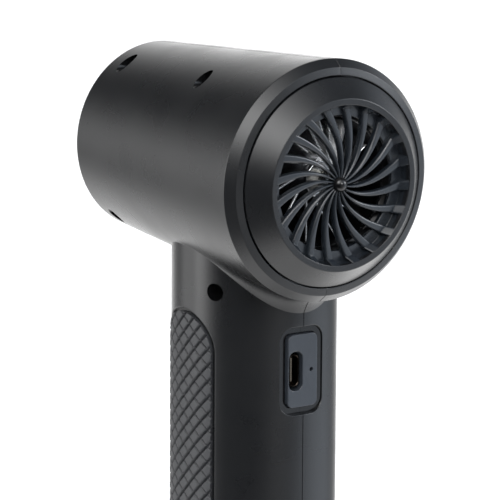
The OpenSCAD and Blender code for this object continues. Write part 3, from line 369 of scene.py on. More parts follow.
# %% Moulded plastics
def moulded(name, colour, worn, roughness, grain_mm=0.35, grain_depth=0.012, ior=1.46, specular=0.5):
    """Injection-moulded plastic: two close tones in cloudy patches, a fine eroded grain in the bump."""
    made, tree = empty_material(name)
    place = add(tree, "ShaderNodeTexCoord").outputs["Object"]
    cloud = add(tree, "ShaderNodeTexNoise", {"Vector": place, "Scale": grains_per_metre(14), "Detail": 3.0})
    grain = add(tree, "ShaderNodeTexNoise",
                {"Vector": place, "Scale": grains_per_metre(grain_mm), "Detail": 2.0, "Roughness": 0.6})
    tone = add(tree, "ShaderNodeMath", {0: cloud.outputs["Fac"], 1: grain.outputs["Fac"]},
               operation="MULTIPLY")
    mix = add(tree, "ShaderNodeMix", {"Factor": tone.outputs[0], "A": linear(colour), "B": linear(worn)},
              data_type="RGBA")
    rough = add(tree, "ShaderNodeMapRange",
                {"Value": cloud.outputs["Fac"], "From Min": 0.3, "From Max": 0.7,
                 "To Min": roughness - 0.03, "To Max": roughness + 0.04})
    bump = add(tree, "ShaderNodeBump", {"Height": grain.outputs["Fac"], "Distance": grain_depth * MM,
                                        "Strength": 1.0})
    shader = add(tree, "ShaderNodeBsdfPrincipled",
                 {"Base Color": mix.outputs["Result"], "Roughness": rough.outputs["Result"],
                  "Normal": bump.outputs["Normal"], "IOR": ior, "Specular IOR Level": specular})
    add(tree, "ShaderNodeOutputMaterial", {"Surface": shader.outputs["BSDF"]})
    return made


finishes = {
    "shell_abs": moulded("abs_spark_textured_charcoal", "#151618", "#1f2022", 0.28, ior=1.5),
    "bezel_abs": moulded("abs_fine_textured_charcoal", "#151618", "#1e1f21", 0.25, grain_mm=0.3, ior=1.5),
    "grille_abs": moulded("abs_moulded_slate", "#1b1f24", "#23282e", 0.25, grain_mm=0.3, grain_depth=0.006,
                          ior=1.58),
    "panel_abs": moulded("abs_moulded_blue_grey", "#2b2f35", "#363b42", 0.34, grain_mm=0.4, ior=1.5),
    "trigger_abs": moulded("abs_satin_black", "#141517", "#1e1f22", 0.28, ior=1.5),
    # The same gloss black is also painted shade in the housings' screw holes and on the port's sunken
    # floor.
    "bellmouth_abs": moulded("abs_gloss_black", "#0b0b0c", "#121214", 0.16, grain_depth=0.003, ior=1.5),
    "holder_plastic": moulded("abs_moulded_ivory", "#cfcdc6", "#dad8d1", 0.45),
    "switch_case": moulded("nylon_moulded_grey", "#333336", "#3e3e42", 0.42),
    "switch_nylon": moulded("nylon_moulded_white", "#cfcdc6", "#dddbd4", 0.4)}


# %% [markdown]
# Rubber scatters light more than ABS and has a weak, wide highlight. Dust settles in its pores, so the
# lighter tone is greyer than the base.

# %% Rubbers
finishes |= {
    "grip_rubber": moulded("rubber_moulded_grey", "#2c2d30", "#3c3e41", 0.5, grain_mm=0.3, grain_depth=0.03,
                           ior=1.5, specular=0.45),
    "damper_rubber": moulded("rubber_moulded_black", "#151516", "#1f1f21", 0.6, grain_depth=0.02),
    "foot_rubber": moulded("rubber_pressed_black", "#161617", "#222224", 0.68, grain_mm=0.6,
                           grain_depth=0.05)}


# %% [markdown]
# Metals keep the default IOR: their colour comes from the base colour with metallic at 1. What sets
# one finish from another is the roughness and the direction and size of the marks.


# %% Metals
def metal(name, colour, shade, roughness, mark_mm, stretch=(1.0, 1.0, 1.0), depth=0.004):
    """Bare metal with marks mark_mm apart, drawn out along the axes with a small stretch value."""
    made, tree = empty_material(name)
    place = add(tree, "ShaderNodeTexCoord").outputs["Object"]
    turn = add(tree, "ShaderNodeMapping", {"Vector": place, "Scale": stretch})
    marks = add(tree, "ShaderNodeTexNoise",
                {"Vector": turn.outputs["Vector"], "Scale": grains_per_metre(mark_mm), "Detail": 3.0})
    mix = add(tree, "ShaderNodeMix",
              {"Factor": marks.outputs["Fac"], "A": linear(colour), "B": linear(shade)}, data_type="RGBA")
    rough = add(tree, "ShaderNodeMapRange",
                {"Value": marks.outputs["Fac"], "From Min": 0.3, "From Max": 0.7,
                 "To Min": roughness - 0.05, "To Max": roughness + 0.08})
    bump = add(tree, "ShaderNodeBump",
               {"Height": marks.outputs["Fac"], "Distance": depth * MM, "Strength": 1.0})
    shader = add(tree, "ShaderNodeBsdfPrincipled",
                 {"Base Color": mix.outputs["Result"], "Metallic": 1.0,
                  "Roughness": rough.outputs["Result"], "Normal": bump.outputs["Normal"]})
    add(tree, "ShaderNodeOutputMaterial", {"Surface": shader.outputs["BSDF"]})
    return made


finishes |= {
    # The die-cast aluminium's near-black tone is painted shade for the inside of the duct behind the
    # grille.
    "cast_aluminium": metal("aluminium_die_cast_painted_duct_shade", "#2a2b2d", "#222325", 0.42, 0.5,
                            depth=0.02),
    "milled_aluminium": metal("aluminium_milled", "#e2e3e5", "#cbcdd0", 0.18, 0.6, stretch=(1, 0.15, 1),
                              depth=0.001),
    "ground_steel": metal("steel_ground", "#b4b6b9", "#9b9da1", 0.22, 0.3, stretch=(1, 0.1, 1)),
    "spring_steel": metal("steel_drawn_wire", "#b2b4b7", "#8f9195", 0.28, 0.3),
    "core_steel": metal("steel_stacked_laminations", "#74777b", "#56585c", 0.4, 0.35, (0.05, 1, 0.05)),
    "magnet_sleeve": metal("nickel_plated_magnet", "#8d8f92", "#7a7c80", 0.25, 0.8),
    "copper_wire": metal("copper_enamelled_wire", "#a8622f", "#8a4c22", 0.3, 0.5, stretch=(0.2, 1, 1)),
    "brass_nut": metal("brass_nickel_plated", "#b9b8b2", "#a3a29c", 0.24, 0.4),
    # Plated steel; its dark brownish tone is painted shade for its place deep in the slot.
    "socket_steel": metal("steel_plated_painted_slot_shade", "#4a423b", "#38322d", 0.3, 0.6),
    "nickel_strip": metal("nickel_rolled_strip", "#c2c2be", "#a9a9a5", 0.3, 0.4, stretch=(0.2, 1, 1)),
    "black_steel": metal("steel_black_oxide", "#2c2c2e", "#1f1f21", 0.38, 0.5)}


# %% [markdown]
# The remaining inner pieces are soft-sheathed wires, boards, chips and the printed sleeves of the
# cells. They hide inside the closed shells, but show whenever a maker opens or sections the model.

# %% Inner finishes
finishes |= {
    "lead_insulation": moulded("silicone_extruded_red", "#8e2f28", "#a03a31", 0.5),
    "circuit_board": moulded("fibreglass_solder_mask_green", "#12402a", "#1a5236", 0.3, grain_mm=0.8),
    "chip_epoxy": moulded("epoxy_moulded_black", "#1b1c1d", "#262728", 0.5),
    "capacitor_sleeve": moulded("pvc_shrink_sleeve_blue", "#23365c", "#2c4370", 0.3),
    "cell_sleeve": moulded("pvc_shrink_sleeve_sky", "#2a6099", "#346fae", 0.28),
    # The light pipe's near-black tone is painted shade, so that the pinhole shows as a dark hole.
    "light_pipe": moulded("acrylic_painted_pinhole_shade", "#0c0c0d", "#131315", 0.2, grain_depth=0.002)}

# %% [markdown]
# The socket's tongue is a steel plate in liquid-crystal polymer, with gold-plated contact strips. The
# plate's edge stays bare at the tip, where it leads the plug in.

# %% Tongue of the socket
strip_pitch, strip_share, bare_tip_y = 0.5, 0.62, 20.7


def contact_strips():
    """Liquid-crystal polymer round a steel plate whose edge is bare at the tip, with gold-plated contacts:
    a strip fills the first share of each pitch along its height."""
    made, tree = empty_material("lcp_moulded_with_gold_contacts")
    place = add(tree, "ShaderNodeTexCoord").outputs["Object"]
    split = add(tree, "ShaderNodeSeparateXYZ", {"Vector": place})
    count = add(tree, "ShaderNodeMath", {0: split.outputs["Z"], 1: grains_per_metre(strip_pitch)},
                operation="MULTIPLY")
    share = add(tree, "ShaderNodeMath", {0: count.outputs[0]}, operation="FRACT")
    strip = add(tree, "ShaderNodeMath", {0: share.outputs[0], 1: strip_share}, operation="LESS_THAN")
    grain = add(tree, "ShaderNodeTexNoise",
                {"Vector": place, "Scale": grains_per_metre(0.3), "Detail": 2.0})
    rough = add(tree, "ShaderNodeMapRange", {"Value": grain.outputs["Fac"], "To Min": 0.18, "To Max": 0.36})
    tip = add(tree, "ShaderNodeMath", {0: split.outputs["Y"], 1: bare_tip_y * MM}, operation="GREATER_THAN")
    tone = add(tree, "ShaderNodeMix", {"Factor": strip.outputs[0], "A": linear("#1c1c1d"),
                                       "B": linear("#7a6a4e")}, data_type="RGBA")
    tone = add(tree, "ShaderNodeMix", {"Factor": tip.outputs[0], "A": tone.outputs["Result"],
                                       "B": linear("#6a6257")}, data_type="RGBA")
    bare = add(tree, "ShaderNodeMath", {0: strip.outputs[0], 1: tip.outputs[0]}, operation="MAXIMUM")
    shader = add(tree, "ShaderNodeBsdfPrincipled",
                 {"Base Color": tone.outputs["Result"], "Metallic": bare.outputs[0],
                  "Roughness": rough.outputs["Result"]})
    add(tree, "ShaderNodeOutputMaterial", {"Surface": shader.outputs["BSDF"]})
    return made


finishes["socket_tongue"] = contact_strips()

# %% [markdown]
# Every node of the construction model gets the finish of its slot. The nodes that a finer piece replaces
# further down get it too, so that none is ever left bare.

# %% Finishes on the nodes
for name, slot in slot_of.items():
    node = frame["nodes"][name]
    node.data.materials.clear()
    node.data.materials.append(finishes[slot])
print(len(finishes), "finishes on", len(frame["nodes"]), "nodes")

# %% [markdown]
# Each housing half is one thin moulding: half of the tapered barrel, the hollow neck and half of the
# oval handle. Behind the handle the neck is hollowed, and towards the sides the hollow runs out into a
# plain crease. The barrel's grid has a rectangular hole below, and columns run from that hole's edge
# over the barrel, through the hollow and down the handle, so that the mesh stays whole.


# %% Outline of the barrel and its hole
seam_gap, seam_bevel, seam_depth = 0.03, 0.16, 0.16
seam_lean, seam_shift = 0.067, 0.45
barrel_outline = [(24.55, -49.3, 0), (25.5, -49.3, 0.3), (barrel_r(-48.3), -48.3, 0.35),
                  (barrel_rear_r, barrel_back, 0.35), (30.4, 35.5, 0.3), (mouth_r, rear_face_y, 0.25),
                  (mouth_r, 34.1, 0)]
cone_front_y, cone_rear_y, ring_front_y = -48.0, 32.6, barrel_back - 0.5
first_row_y, last_row_y = -47.0, 31.8
hole_rear_y, hole_front_y, hole_rows = 31.0, -34.0, 61
hole_angle, below_columns, above_columns = radians(-28), 56, 100


def barrel_point(r, y, angle):
    """Point of the barrel at a radius, a place along the axis and an angle from +X towards +Z."""
    return np.stack([r * np.cos(angle), y + 0 * angle, axis_h + r * np.sin(angle)], -1)


def barrel_out(y, angle):
    """Direction straight away from the barrel axis at an angle."""
    return barrel_point(1.0, y, angle) - np.stack([0 * y, y, axis_h + 0 * y], -1)


def seam_edge(points, normals, column, place=0.0):
    """Pulls one column of a grid to the seam: close to its sideways place, a little below the surface."""
    points[:, column] -= seam_depth * normals[:, column]
    points[:, column, 0] = place + seam_gap
    return points


# %% Barrel of one half
def seam_places(outline, side):
    """Sideways place of the seam above and below the axis for each point of the outline. On the rear ring
    the seam leans: its place falls with the height above the axis, and side says which half."""
    ring = outline[:, 1] > ring_front_y
    return [np.where(ring, -side * (up * seam_lean * outline[:, 0] + seam_shift), 0.0) for up in (1, -1)]


def barrel_grid(side):
    """Grid of the +X half from the seam below to the seam above, its angles and its places along the axis,
    then the rows and the column that bound the hole over the neck."""
    outline = rounded(barrel_outline, closed=False)
    front, rear = outline[outline[:, 1] <= cone_front_y], outline[outline[:, 1] >= cone_rear_y]
    cone_y = np.concatenate([np.arange(first_row_y, hole_front_y, 1.0),
                             np.linspace(hole_front_y, hole_rear_y, hole_rows), [last_row_y]])
    outline = np.concatenate([front, np.stack([barrel_r(cone_y), cone_y], -1), rear])
    rear_row, front_row = (
        len(front) + int(np.argmin(abs(cone_y - place))) for place in (hole_rear_y, hole_front_y))
    below = np.linspace(-np.pi / 2, hole_angle, below_columns)
    above = np.linspace(hole_angle, np.pi / 2, above_columns)[1:]
    angle = np.concatenate([below, above])[None] + 0 * outline[:, :1]
    r, y = outline[:, :1] + 0 * angle, outline[:, 1:] + 0 * angle
    top, bottom = seam_places(outline, side)
    angle = hole_angle + (angle - hole_angle) * np.where(
        angle > hole_angle, 1 - np.arcsin(top / outline[:, 0])[:, None] / (np.pi / 2 - hole_angle),
        1 - np.arcsin(bottom / outline[:, 0])[:, None] / (np.pi / 2 + hole_angle))
    angle[:, 1] = -np.arccos((bottom + seam_bevel) / r[:, 1])
    angle[:, -2] = np.arccos((top + seam_bevel) / r[:, -2])
    out = barrel_out(y, angle)
    barrel = seam_edge(seam_edge(barrel_point(r, y, angle), out, 0, bottom), out, -1, top)
    return barrel, angle, y, rear_row, front_row, len(below) - 1


def hole_path(rear_row, front_row, column):
    """Rows and columns of the points round the hole: along its rear edge, its side and its front edge."""
    across, along = np.arange(column + 1), np.arange(rear_row - 1, front_row, -1)
    rows = np.concatenate([np.full(column + 1, rear_row), along, np.full(column + 1, front_row)])
    columns = np.concatenate([across, np.full(len(along), column), across[::-1]])
    return rows, columns


# %% [markdown]
# On the real moulding the neck is a generous hollow round, because a sharp corner would crack there and
# would hurt the hand. Each column of the grid crosses it on a curve that leaves the handle at the crease's
# lean and meets the barrel along the barrel's own slope, so that the light runs through without a step.

# %% Hollow of the neck
side_reach, side_drop, drop_power = 0.3, 0.1, 2.3
crease_lean = radians(24)  # from upright
slope_step, fine_steps = 0.01, 2001


def under(place):
    """Height of the barrel's underside over plan places, counted from the barrel axis."""
    return -np.sqrt(barrel_r(place[:, 1]) ** 2 - place[:, 0] ** 2)


def hollow(point, normal):
    """The neck's hollow over each point of the handle's outline: how far out it meets the barrel, and the
    distance and height of its two ends and of the point where their tangents cross. Its reach grows with
    the sine of the bearing from the side towards the back, its drop with a power of that sine."""
    back = np.maximum(normal[:, 1], 0)
    reach = side_reach + (neck_reach - side_reach) * back
    drop = side_drop + (neck_drop - side_drop) * back ** drop_power
    touch = point + reach[:, None] * normal
    low, high = under(point) - drop, under(touch)
    slope = (under(touch + slope_step * normal) - high) / slope_step
    bend = (high - slope * reach - low) / (1 / np.tan(crease_lean) - slope)
    return touch, reach, low, high, bend, low + bend / np.tan(crease_lean)


def matched(edge_angle, edge_y):
    """Places round the handle that have the same bearing from its middle as the points round the hole."""
    s_fine = np.linspace(half_turn, -half_turn, fine_steps)
    touch, _, _, high, _, _ = hollow(*oval(s_fine))
    touch_angle = np.arctan2(high, touch[:, 0])
    middle_r = barrel_r(0)
    bearing_fine = np.unwrap(np.arctan2((touch_angle + np.pi / 2) * middle_r, touch[:, 1]))
    bearing = np.arctan2((edge_angle + np.pi / 2) * middle_r, edge_y)
    s = np.interp(bearing, bearing_fine, s_fine)
    s[0], s[-1] = half_turn, -half_turn
    return s


# %% Rows from the barrel down the handle
collar_count, neck_count, wall_count, foot_bevel = 14, 18, 89, 0.25


def collar_rows(edge_angle, edge_y, touch, high):
    """Rows on the barrel from the hole's edge to the hollow in even steps, and their outward directions."""
    t = np.linspace(0, 1, collar_count)[:, None]
    angle = edge_angle + (np.arctan2(high, touch[:, 0]) - edge_angle) * t
    y = edge_y + (touch[:, 1] - edge_y) * t
    return barrel_point(barrel_r(y), y, angle), barrel_out(y, angle)


def neck_rows(point, normal, reach, low, high, bend, bend_z):
    """Rows through the hollow and their outward directions. Distance out and height both follow
    (1 - t)^2 * lower end + 2t(1 - t) * crossing + t^2 * upper end; the direction is square to that."""
    t = np.linspace(1, 0, neck_count)[1:, None]
    out_by = 2 * t * (1 - t) * bend + t * t * reach
    height = (1 - t) ** 2 * low + 2 * t * (1 - t) * bend_z + t * t * high
    run = 2 * (1 - 2 * t) * bend + 2 * t * reach
    rise = 2 * (1 - 2 * t) * bend_z + 2 * t * high - 2 * (1 - t) * low
    steep = np.hypot(run, rise)
    plan = point + out_by[..., None] * normal
    neck = np.concatenate([plan, axis_h + height[..., None]], -1)
    return neck, np.concatenate([normal * (rise / steep)[..., None], -(run / steep)[..., None]], -1)


def handle_rows(point, normal, wall_top):
    """Rows down the handle's upright side in even steps, and a last one drawn in by a small bevel."""
    t = np.linspace(0, 1, wall_count + 1)[1:, None]
    wall = np.concatenate([np.repeat(point[None], wall_count, 0),
                           (wall_top + (base_top + foot_bevel - wall_top) * t)[..., None]], -1)
    flat = np.concatenate([normal, np.zeros((len(point), 1))], -1)
    foot = wall[-1] - foot_bevel * flat - [0, 0, foot_bevel]
    return np.concatenate([wall, foot[None]]), np.repeat(flat[None], wall_count + 1, 0)


def half_surface(side):
    """Grids of the +X half: the barrel with its rectangular hole, then collar, neck and handle."""
    barrel, angle, y, rear_row, front_row, hole_column = barrel_grid(side)
    rows, cols = barrel.shape[:2]
    keep = np.ones((rows - 1, cols - 1), bool)
    keep[front_row:rear_row, :hole_column] = False
    faces = grid_faces(rows, cols).reshape(rows - 1, cols - 1, 4)[keep]

    path = hole_path(rear_row, front_row, hole_column)
    point, normal = oval(matched(angle[path], y[path]))
    touch, reach, low, high, bend, bend_z = hollow(point, normal)
    collar, collar_out = collar_rows(angle[path], y[path], touch, high)
    neck, neck_out = neck_rows(point, normal, reach, low, high, bend, bend_z)
    wall, wall_out = handle_rows(point, normal, neck[-1, :, 2])
    columns, out = np.concatenate([collar, neck, wall]), np.concatenate([collar_out, neck_out, wall_out])
    for column in (0, -1):
        columns = seam_edge(columns, out, column)
    return [(barrel.reshape(-1, 3), faces), sheet(columns)]


def mirrored(parts):
    """The same surfaces on the -X side."""
    return [(points * [-1, 1, 1], faces[:, ::-1]) for points, faces in parts]


# %% [markdown]
# The shells are cut like the real tool would core them: blind holes with a boss behind each screw, the
# trigger's window, the sunken frame round the charging port, and a pocket for each grip pad.


# %% Cutters for the shells
port_frame, panel_hole = (13.8, 24.2, 4.0), (10.0, 20.5, 1.6)  # width, height and corner radius
frame_round, frame_far, hole_near, hole_far, floor_clear = 0.3, 26.0, 17.0, 23.0, 0.02
port_block, port_block_half = [(seam_gap, 18.6), (8.5, 18.6), (8.5, 21.0), (seam_gap, 22.8)], 13.7
boss_r, boss_skin, pilot_r, pilot_lap = 3.1, 0.8, 1.4, 1.0
window_gap, window_corner, window_near, window_far = 0.4, 1.2, -30.0, -12.0
beyond = 40.0  # a cutter ends here, outside the housing


def rod_x(radius, start, end, y, z, steps=48):
    """Closed rod along X. The end may follow a surface: end is a number or a function of y and z."""
    angle = np.linspace(0, 2 * np.pi, steps, endpoint=False)
    ys, zs = y + radius * np.cos(angle), z + radius * np.sin(angle)
    ends = end(ys, zs) if callable(end) else np.full(steps, end)
    x = start + (ends - start) * np.linspace(0, 1, 2)[:, None]
    return tube_part(np.stack([x, ys + 0 * x, zs + 0 * x], -1))


def wall_x(y, z):
    """Sideways distance of the housing's outer surface from the seam at a place."""
    barrel = np.sqrt(np.maximum(barrel_r(y) ** 2 - (z - axis_h) ** 2, 0))
    handle = np.sqrt(np.maximum(handle_r ** 2 - np.maximum(abs(y) - oval_off, 0) ** 2, 0))
    return np.where(z > barrel_floor_z, barrel, handle)


def port_prism(width, height, radius, near, far, flare=0.0):
    """Prism across the charging port between two places along Y; where it leaves the handle's skin its
    edge opens by a quarter round of the flare's radius."""
    outline = stepped(rounded_box_outline(width, height, radius), 0.5)
    x, z = outline[:, 0], outline[:, 1]
    skin = oval_off + np.sqrt(handle_r ** 2 - x ** 2)
    rows = [np.stack([x, np.full_like(x, near), z + port_z], -1)]
    for turn in np.linspace(0, np.pi / 2, 6 if flare else 0):
        wider = 2 * flare * (1 - cos(turn))
        y = np.maximum(skin - flare * (1 - sin(turn)), near + floor_clear)
        rows.append(np.stack([x * (1 + wider / width), y, z * (1 + wider / height) + port_z], -1))
    rows.append(rows[-1] * [1, 0, 1] + [0, far, 0])
    return tube_part(np.stack(rows))


def window(half_width, low, high, near, far, radius):
    """Prism through the front wall of the handle, for the trigger."""
    outline = rounded_box_outline(2 * half_width, high - low, radius)
    y = np.array([near, far])[:, None]
    x, z = outline[:, 0], outline[:, 1] + (low + high) / 2
    return tube_part(np.stack([x + 0 * y, y + 0 * x, z + 0 * y], -1))


# %% [markdown]
# A grip pad lies in an arched outline on the side of the handle. Its rows run across it, and each row
# is as wide as the arch allows, so that the edge is smooth. The same form, a little wider, cuts the pocket.

# %% Form of a grip pad
pad_half_w, pad_arch, pad_shift = 12.0, 10.3, -2.0
pad_low, pad_high = 18.0, axis_h - 38.6
pad_sink, pad_proud, pocket_gap = 0.9, 0.4, 0.1
pocket_rows, pocket_cols, pocket_edge, pocket_over = 72, 25, 0.35, 3.0


def side_place(y):
    """Arc length along the handle's section that belongs to a place y on its side."""
    over = np.maximum(abs(y) - oval_off, 0)
    return np.sign(y) * (np.minimum(abs(y), oval_off) + handle_r * np.arcsin(over / handle_r))


def pad_rows(half_w, rows, cols):
    """Grid over the pad's outline: y and z of each point, rows closing to a point at both arched ends."""
    spread = half_w - pad_half_w
    arch = pad_arch + spread
    low, high = pad_low - spread, pad_high + spread
    turn = np.linspace(0, np.pi / 2, rows // 6)
    straight = np.linspace(low + arch, high - arch, rows - 2 * len(turn) + 2)[1:-1]
    z = np.concatenate([low + arch * (1 - np.cos(turn)), straight, high - arch * (1 - np.cos(turn[::-1]))])
    width = np.concatenate([np.sin(turn), np.ones(len(straight)), np.sin(turn[::-1])]) * half_w
    u = np.linspace(-1, 1, cols)
    return pad_shift + width[:, None] * u[None], z[:, None] + 0 * u[None]


def pad_skin(y, z, height):
    """Points at a height above the handle's side surface."""
    point, normal = oval(side_place(y))
    point = point + normal * height[..., None]
    return np.concatenate([point, z[..., None]], -1)


def pocket_body(half_w):
    """Cutter for a pad's pocket: straight walls, then a quarter round that opens at the handle's skin."""
    turns = np.linspace(0, np.pi / 2, 5)
    opening = [(pocket_edge * (1 - cos(t)), -pocket_edge * (1 - sin(t))) for t in turns]
    levels = [(0, -pad_sink)] + opening + [(pocket_edge, pocket_over)]
    rings = []
    for wider, height in levels:
        y, z = pad_rows(half_w + wider, pocket_rows, pocket_cols)
        rings.append(pad_skin(y, z, np.full_like(y, height)))
    walls = [sheet(np.stack([ring[:, column] for ring in rings])) for column in (0, -1)]
    return [sheet(rings[0]), sheet(rings[-1])] + walls


# %% [markdown]
# The outer surface gets its wall inwards, so that the outside stays exact. Both halves come from the same
# +X form: the right one is mirrored at the end, and its normals are turned back outwards. Only the left
# one has the screw holes, because the screws are driven from that side.


# %% Both housing halves
def shell(name, side):
    """One housing half: the outer surface thickened inwards, bosses and port block joined, openings cut."""
    made = formed(name, half_surface(side))
    wall = made.modifiers.new("wall", "SOLIDIFY")
    wall.thickness = shell_wall * MM
    wall.offset = -1
    wall.use_even_offset = True
    graph = bpy.context.evaluated_depsgraph_get()
    made.data = bpy.data.meshes.new_from_object(made.evaluated_get(graph))
    made.modifiers.clear()
    bosses = [formed("boss", [rod_x(boss_r, seam_gap, lambda y, z: wall_x(y, z) - boss_skin, *place)])
              for place in screw_places]
    block = np.array(port_block)
    z = np.array([port_z - port_block_half, port_z + port_block_half])[:, None]
    bosses.append(formed("block", [tube_part(np.stack(
        [block[:, 0] + 0 * z, block[:, 1] + 0 * z, z + 0 * block[:, 0]], -1))]))
    made = combined(made, "UNION", bosses)
    cutters = [formed("frame", [port_prism(*port_frame, port_face_y, frame_far, frame_round)]),
               formed("panel_hole", [port_prism(*panel_hole, hole_near, hole_far)]),
               formed("window", [window(trigger_half + window_gap, trigger_low - window_gap,
                                        trigger_high + window_gap, window_near, window_far,
                                        window_corner)]),
               formed("pocket", pocket_body(pad_half_w + pocket_gap))]
    if side > 0:
        for y, z in screw_places:
            cutters.append(formed("hole", [rod_x(hole_r(z), screw_seat, beyond, y, z)]))
            cutters.append(formed("pilot", [rod_x(pilot_r, -pilot_lap, screw_seat + pilot_lap, y, z, 24)]))
    made = combined(made, "DIFFERENCE", cutters)
    if side < 0:
        made.data.transform(Matrix.Scale(-1, 4, (1, 0, 0)))
        made.data.flip_normals()
    return made


def painted_shade_on_cores(x, y, z):
    """True for places on a screw hole's wall or on the sunken floor round the port. The pins and the insert
    that form them in the mould have a high polish, which leaves the plastic smooth there; the black is
    painted shade."""
    on_floor = (abs(x) < port_frame[0] / 2) & (abs(z - port_z) < port_frame[1] / 2)
    blackened = on_floor & (abs(y - port_face_y) < face_slack)
    for hole_y, hole_z in screw_places:
        near = np.hypot(y - hole_y, z - hole_z) < hole_r(hole_z) + face_slack
        blackened |= near & (x > 1) & (x < wall_x(y, z) - face_slack)
    return blackened


left_housing = finish_piece(shell("left_housing", 1), "left_shell", sharp=21)
right_housing = finish_piece(shell("right_housing", -1), "right_shell", sharp=21)
# The screw holes and the port's sunken floor get the gloss black as painted shade.
for housing in (left_housing, right_housing):
    blacken_faces(housing, painted_shade_on_cores)

# %% [markdown]
# The grip pads are soft rubber with a diamond pattern of grooves, moulded in. The grooves are real
# shape: the height of each point falls with its distance to the nearest line of two crossing families.
# The family that rises towards the back is cut wider and deeper than the other one.

# %% Grip pads
groove_pitch, pad_gap, pad_lift = 4.46, 0.8, 0.03
top_rows, top_cols, floor_cols = 600, 130, 9
# each family: rise of its lines per length round the handle, place, half width, depth
groove_families = [(1.0, 0.72, 0.55, 0.82), (-0.754, 1.65, 0.4, 0.68)]


def groove(distance, half_width, depth):
    """Depth of a groove with a round bottom: full on its line and none at its half width."""
    t = np.clip(abs(distance) / half_width, 0, 1)
    return depth * (1 - t * t * (3 - 2 * t))


def pad_top(y, z):
    """Height of the pad at a place: proud of the handle, less the deeper of the two families' grooves."""
    s = side_place(y)
    cuts = []
    for slope, phase, half_width, depth in groove_families:
        line = (z - slope * s - phase) / groove_pitch
        away = (line - np.round(line)) * groove_pitch / sqrt(1 + slope ** 2)
        cuts.append(groove(away, half_width, depth))
    return pad_proud - np.maximum(*cuts)


def pad_body(half_w):
    """Closed body between a plain floor just above the pocket's and the grooved top."""
    y, z = pad_rows(half_w, top_rows, top_cols)
    top = pad_skin(y, z, pad_top(y, z))
    y, z = pad_rows(half_w, top_rows, floor_cols)
    floor = pad_skin(y, z, np.full_like(y, pad_lift - pad_sink))
    return [sheet(top), sheet(floor)] + [
        sheet(np.stack([top[:, column], floor[:, column]])) for column in (0, -1)]


pad_parts = pad_body(pad_half_w - pad_gap)
left_pad = piece("left_pad", "left_grip", pad_parts, sharp=50)
right_pad = piece("right_pad", "right_grip", mirrored(pad_parts), sharp=50)

# %% [markdown]
# The intake bezel is a turned form: a steep cone with a flat annulus on top, trapped in the shells'
# mouth. Its edges have the small rounds that catch the studio light.

# %% Intake bezel
bezel_outline = rounded([
    # radius, place along the axis, round of the corner
    (21.3, 41.3, 0.2), (22.95, 41.3, 0.4), (27.9, 36.2, 0.2), (27.9, 33.5, 0), (29.9, 33.5, 0.2),
    (29.9, 31.3, 0.2), (26.2, 31.3, 0), (26.2, 34.5, 0), (24.0, 36.5, 0), (24.0, 39.6, 0),
    (21.3, 39.6, 0.1)])
piece("intake_bezel", "rear_bezel", [turned(bezel_outline, 256)])

# %% [markdown]
# Twenty thin blades sweep from a domed hub to the rim. A blade is a cross-section with round top edges,
# carried along a curve that turns back towards the hub. Its end stands on the rim's sunken shelf, and a
# steep foot climbs from there to the annulus. The mould's polished centre pin leaves the dome glossy.

# %% Swirled grille
blade_count, law_r, dome_r = 20, 20.35, 2.05
blade_tip_r, foot_end_r, foot_slope, blade_slope = 19.95, 21.3, 1.75, -0.022
blade_top_y, blade_low_y, foot_top_y = 39.2, 37.2, 38.65
blade_sweep, blade_bow, blade_start = radians(34.5), radians(11.6), radians(6.8)
blade_root_w, blade_tip_w, width_power = 0.5, 2.5, 1.15
blade_edge, edge_share = 0.3, 0.52  # a top edge's round reaches just under blade_edge / edge_share
blade_lap, foot_sink, hub_sink = 0.1, 0.02, 0.4
shelf_r, shelf_y, rim_r, rim_back_y, ledge_y = 18.1, 37.45, 23.8, 36.1, 39.45
hub_gap, hub_back_y, hub_shoulder_y = 0.1, 36.3, 39.4


def blade_angle(r):
    """Angle of a blade's middle line at a radius, counted from the law's outer radius: it sweeps back
    towards the hub, less so near the tip."""
    t = r / law_r
    return (1 - t) * (blade_sweep - blade_bow * t)


def blade(start_r, end_r, turn, stations, start_y, slope):
    """Closed blade between two radii: a section with round top edges carried along the swirl. Its width
    grows a little faster than its distance from the hub, and its top climbs or falls by a slope."""
    r = np.linspace(start_r, end_r, stations)
    share = np.maximum(r - dome_r, 0) / (law_r - dome_r)
    width = (blade_root_w + (blade_tip_w - blade_root_w) * share ** width_power)[:, None]
    top = (start_y + slope * (r - start_r))[:, None]
    section = rounded([(-1, -1, 0), (-1, 1, 1), (1, 1, 1), (1, -1, 0)], steps=4)
    sign, up, inset = np.sign(section[:, 0]), section[:, 1], 1 - abs(section[:, 0])
    across = sign[None] * (width / 2 - np.minimum(blade_edge, width / 3) * inset[None] / edge_share)
    y = np.where(up < 0, blade_low_y, top - blade_edge * (1 - up) / edge_share)
    radius = r[:, None] + 0 * across
    swirl = blade_angle(r)[:, None] + turn + across / radius
    return tube_part(np.stack([radius * np.cos(swirl), np.broadcast_to(y, swirl.shape),
                               axis_h + radius * np.sin(swirl)], -1))


grille_parts = []
for i in range(blade_count):
    turn = blade_start + 2 * np.pi * i / blade_count
    grille_parts.append(blade(dome_r - hub_sink, blade_tip_r, turn, 36, blade_top_y, blade_slope))
    grille_parts.append(blade(blade_tip_r - blade_lap, foot_end_r + foot_sink, turn, 8,
                              foot_top_y, foot_slope))
rim_outline = rounded([
    (shelf_r, rim_back_y, 0.1), (shelf_r, shelf_y, 0.15), (foot_end_r, shelf_y, 0.1),
    (foot_end_r, ledge_y, 0), (rim_r, ledge_y, 0), (rim_r, rim_back_y, 0)])
quarter = np.linspace(0, np.pi / 2, 17)
dome_outline = np.concatenate([
    [[0, hub_back_y], [dome_r - hub_gap, hub_back_y], [dome_r - hub_gap, hub_shoulder_y]],
    np.stack([dome_r * np.cos(quarter), blade_top_y + dome_r * np.sin(quarter)], -1)])
grille_parts += [turned(rim_outline, 192), turned(dome_outline, 48)]
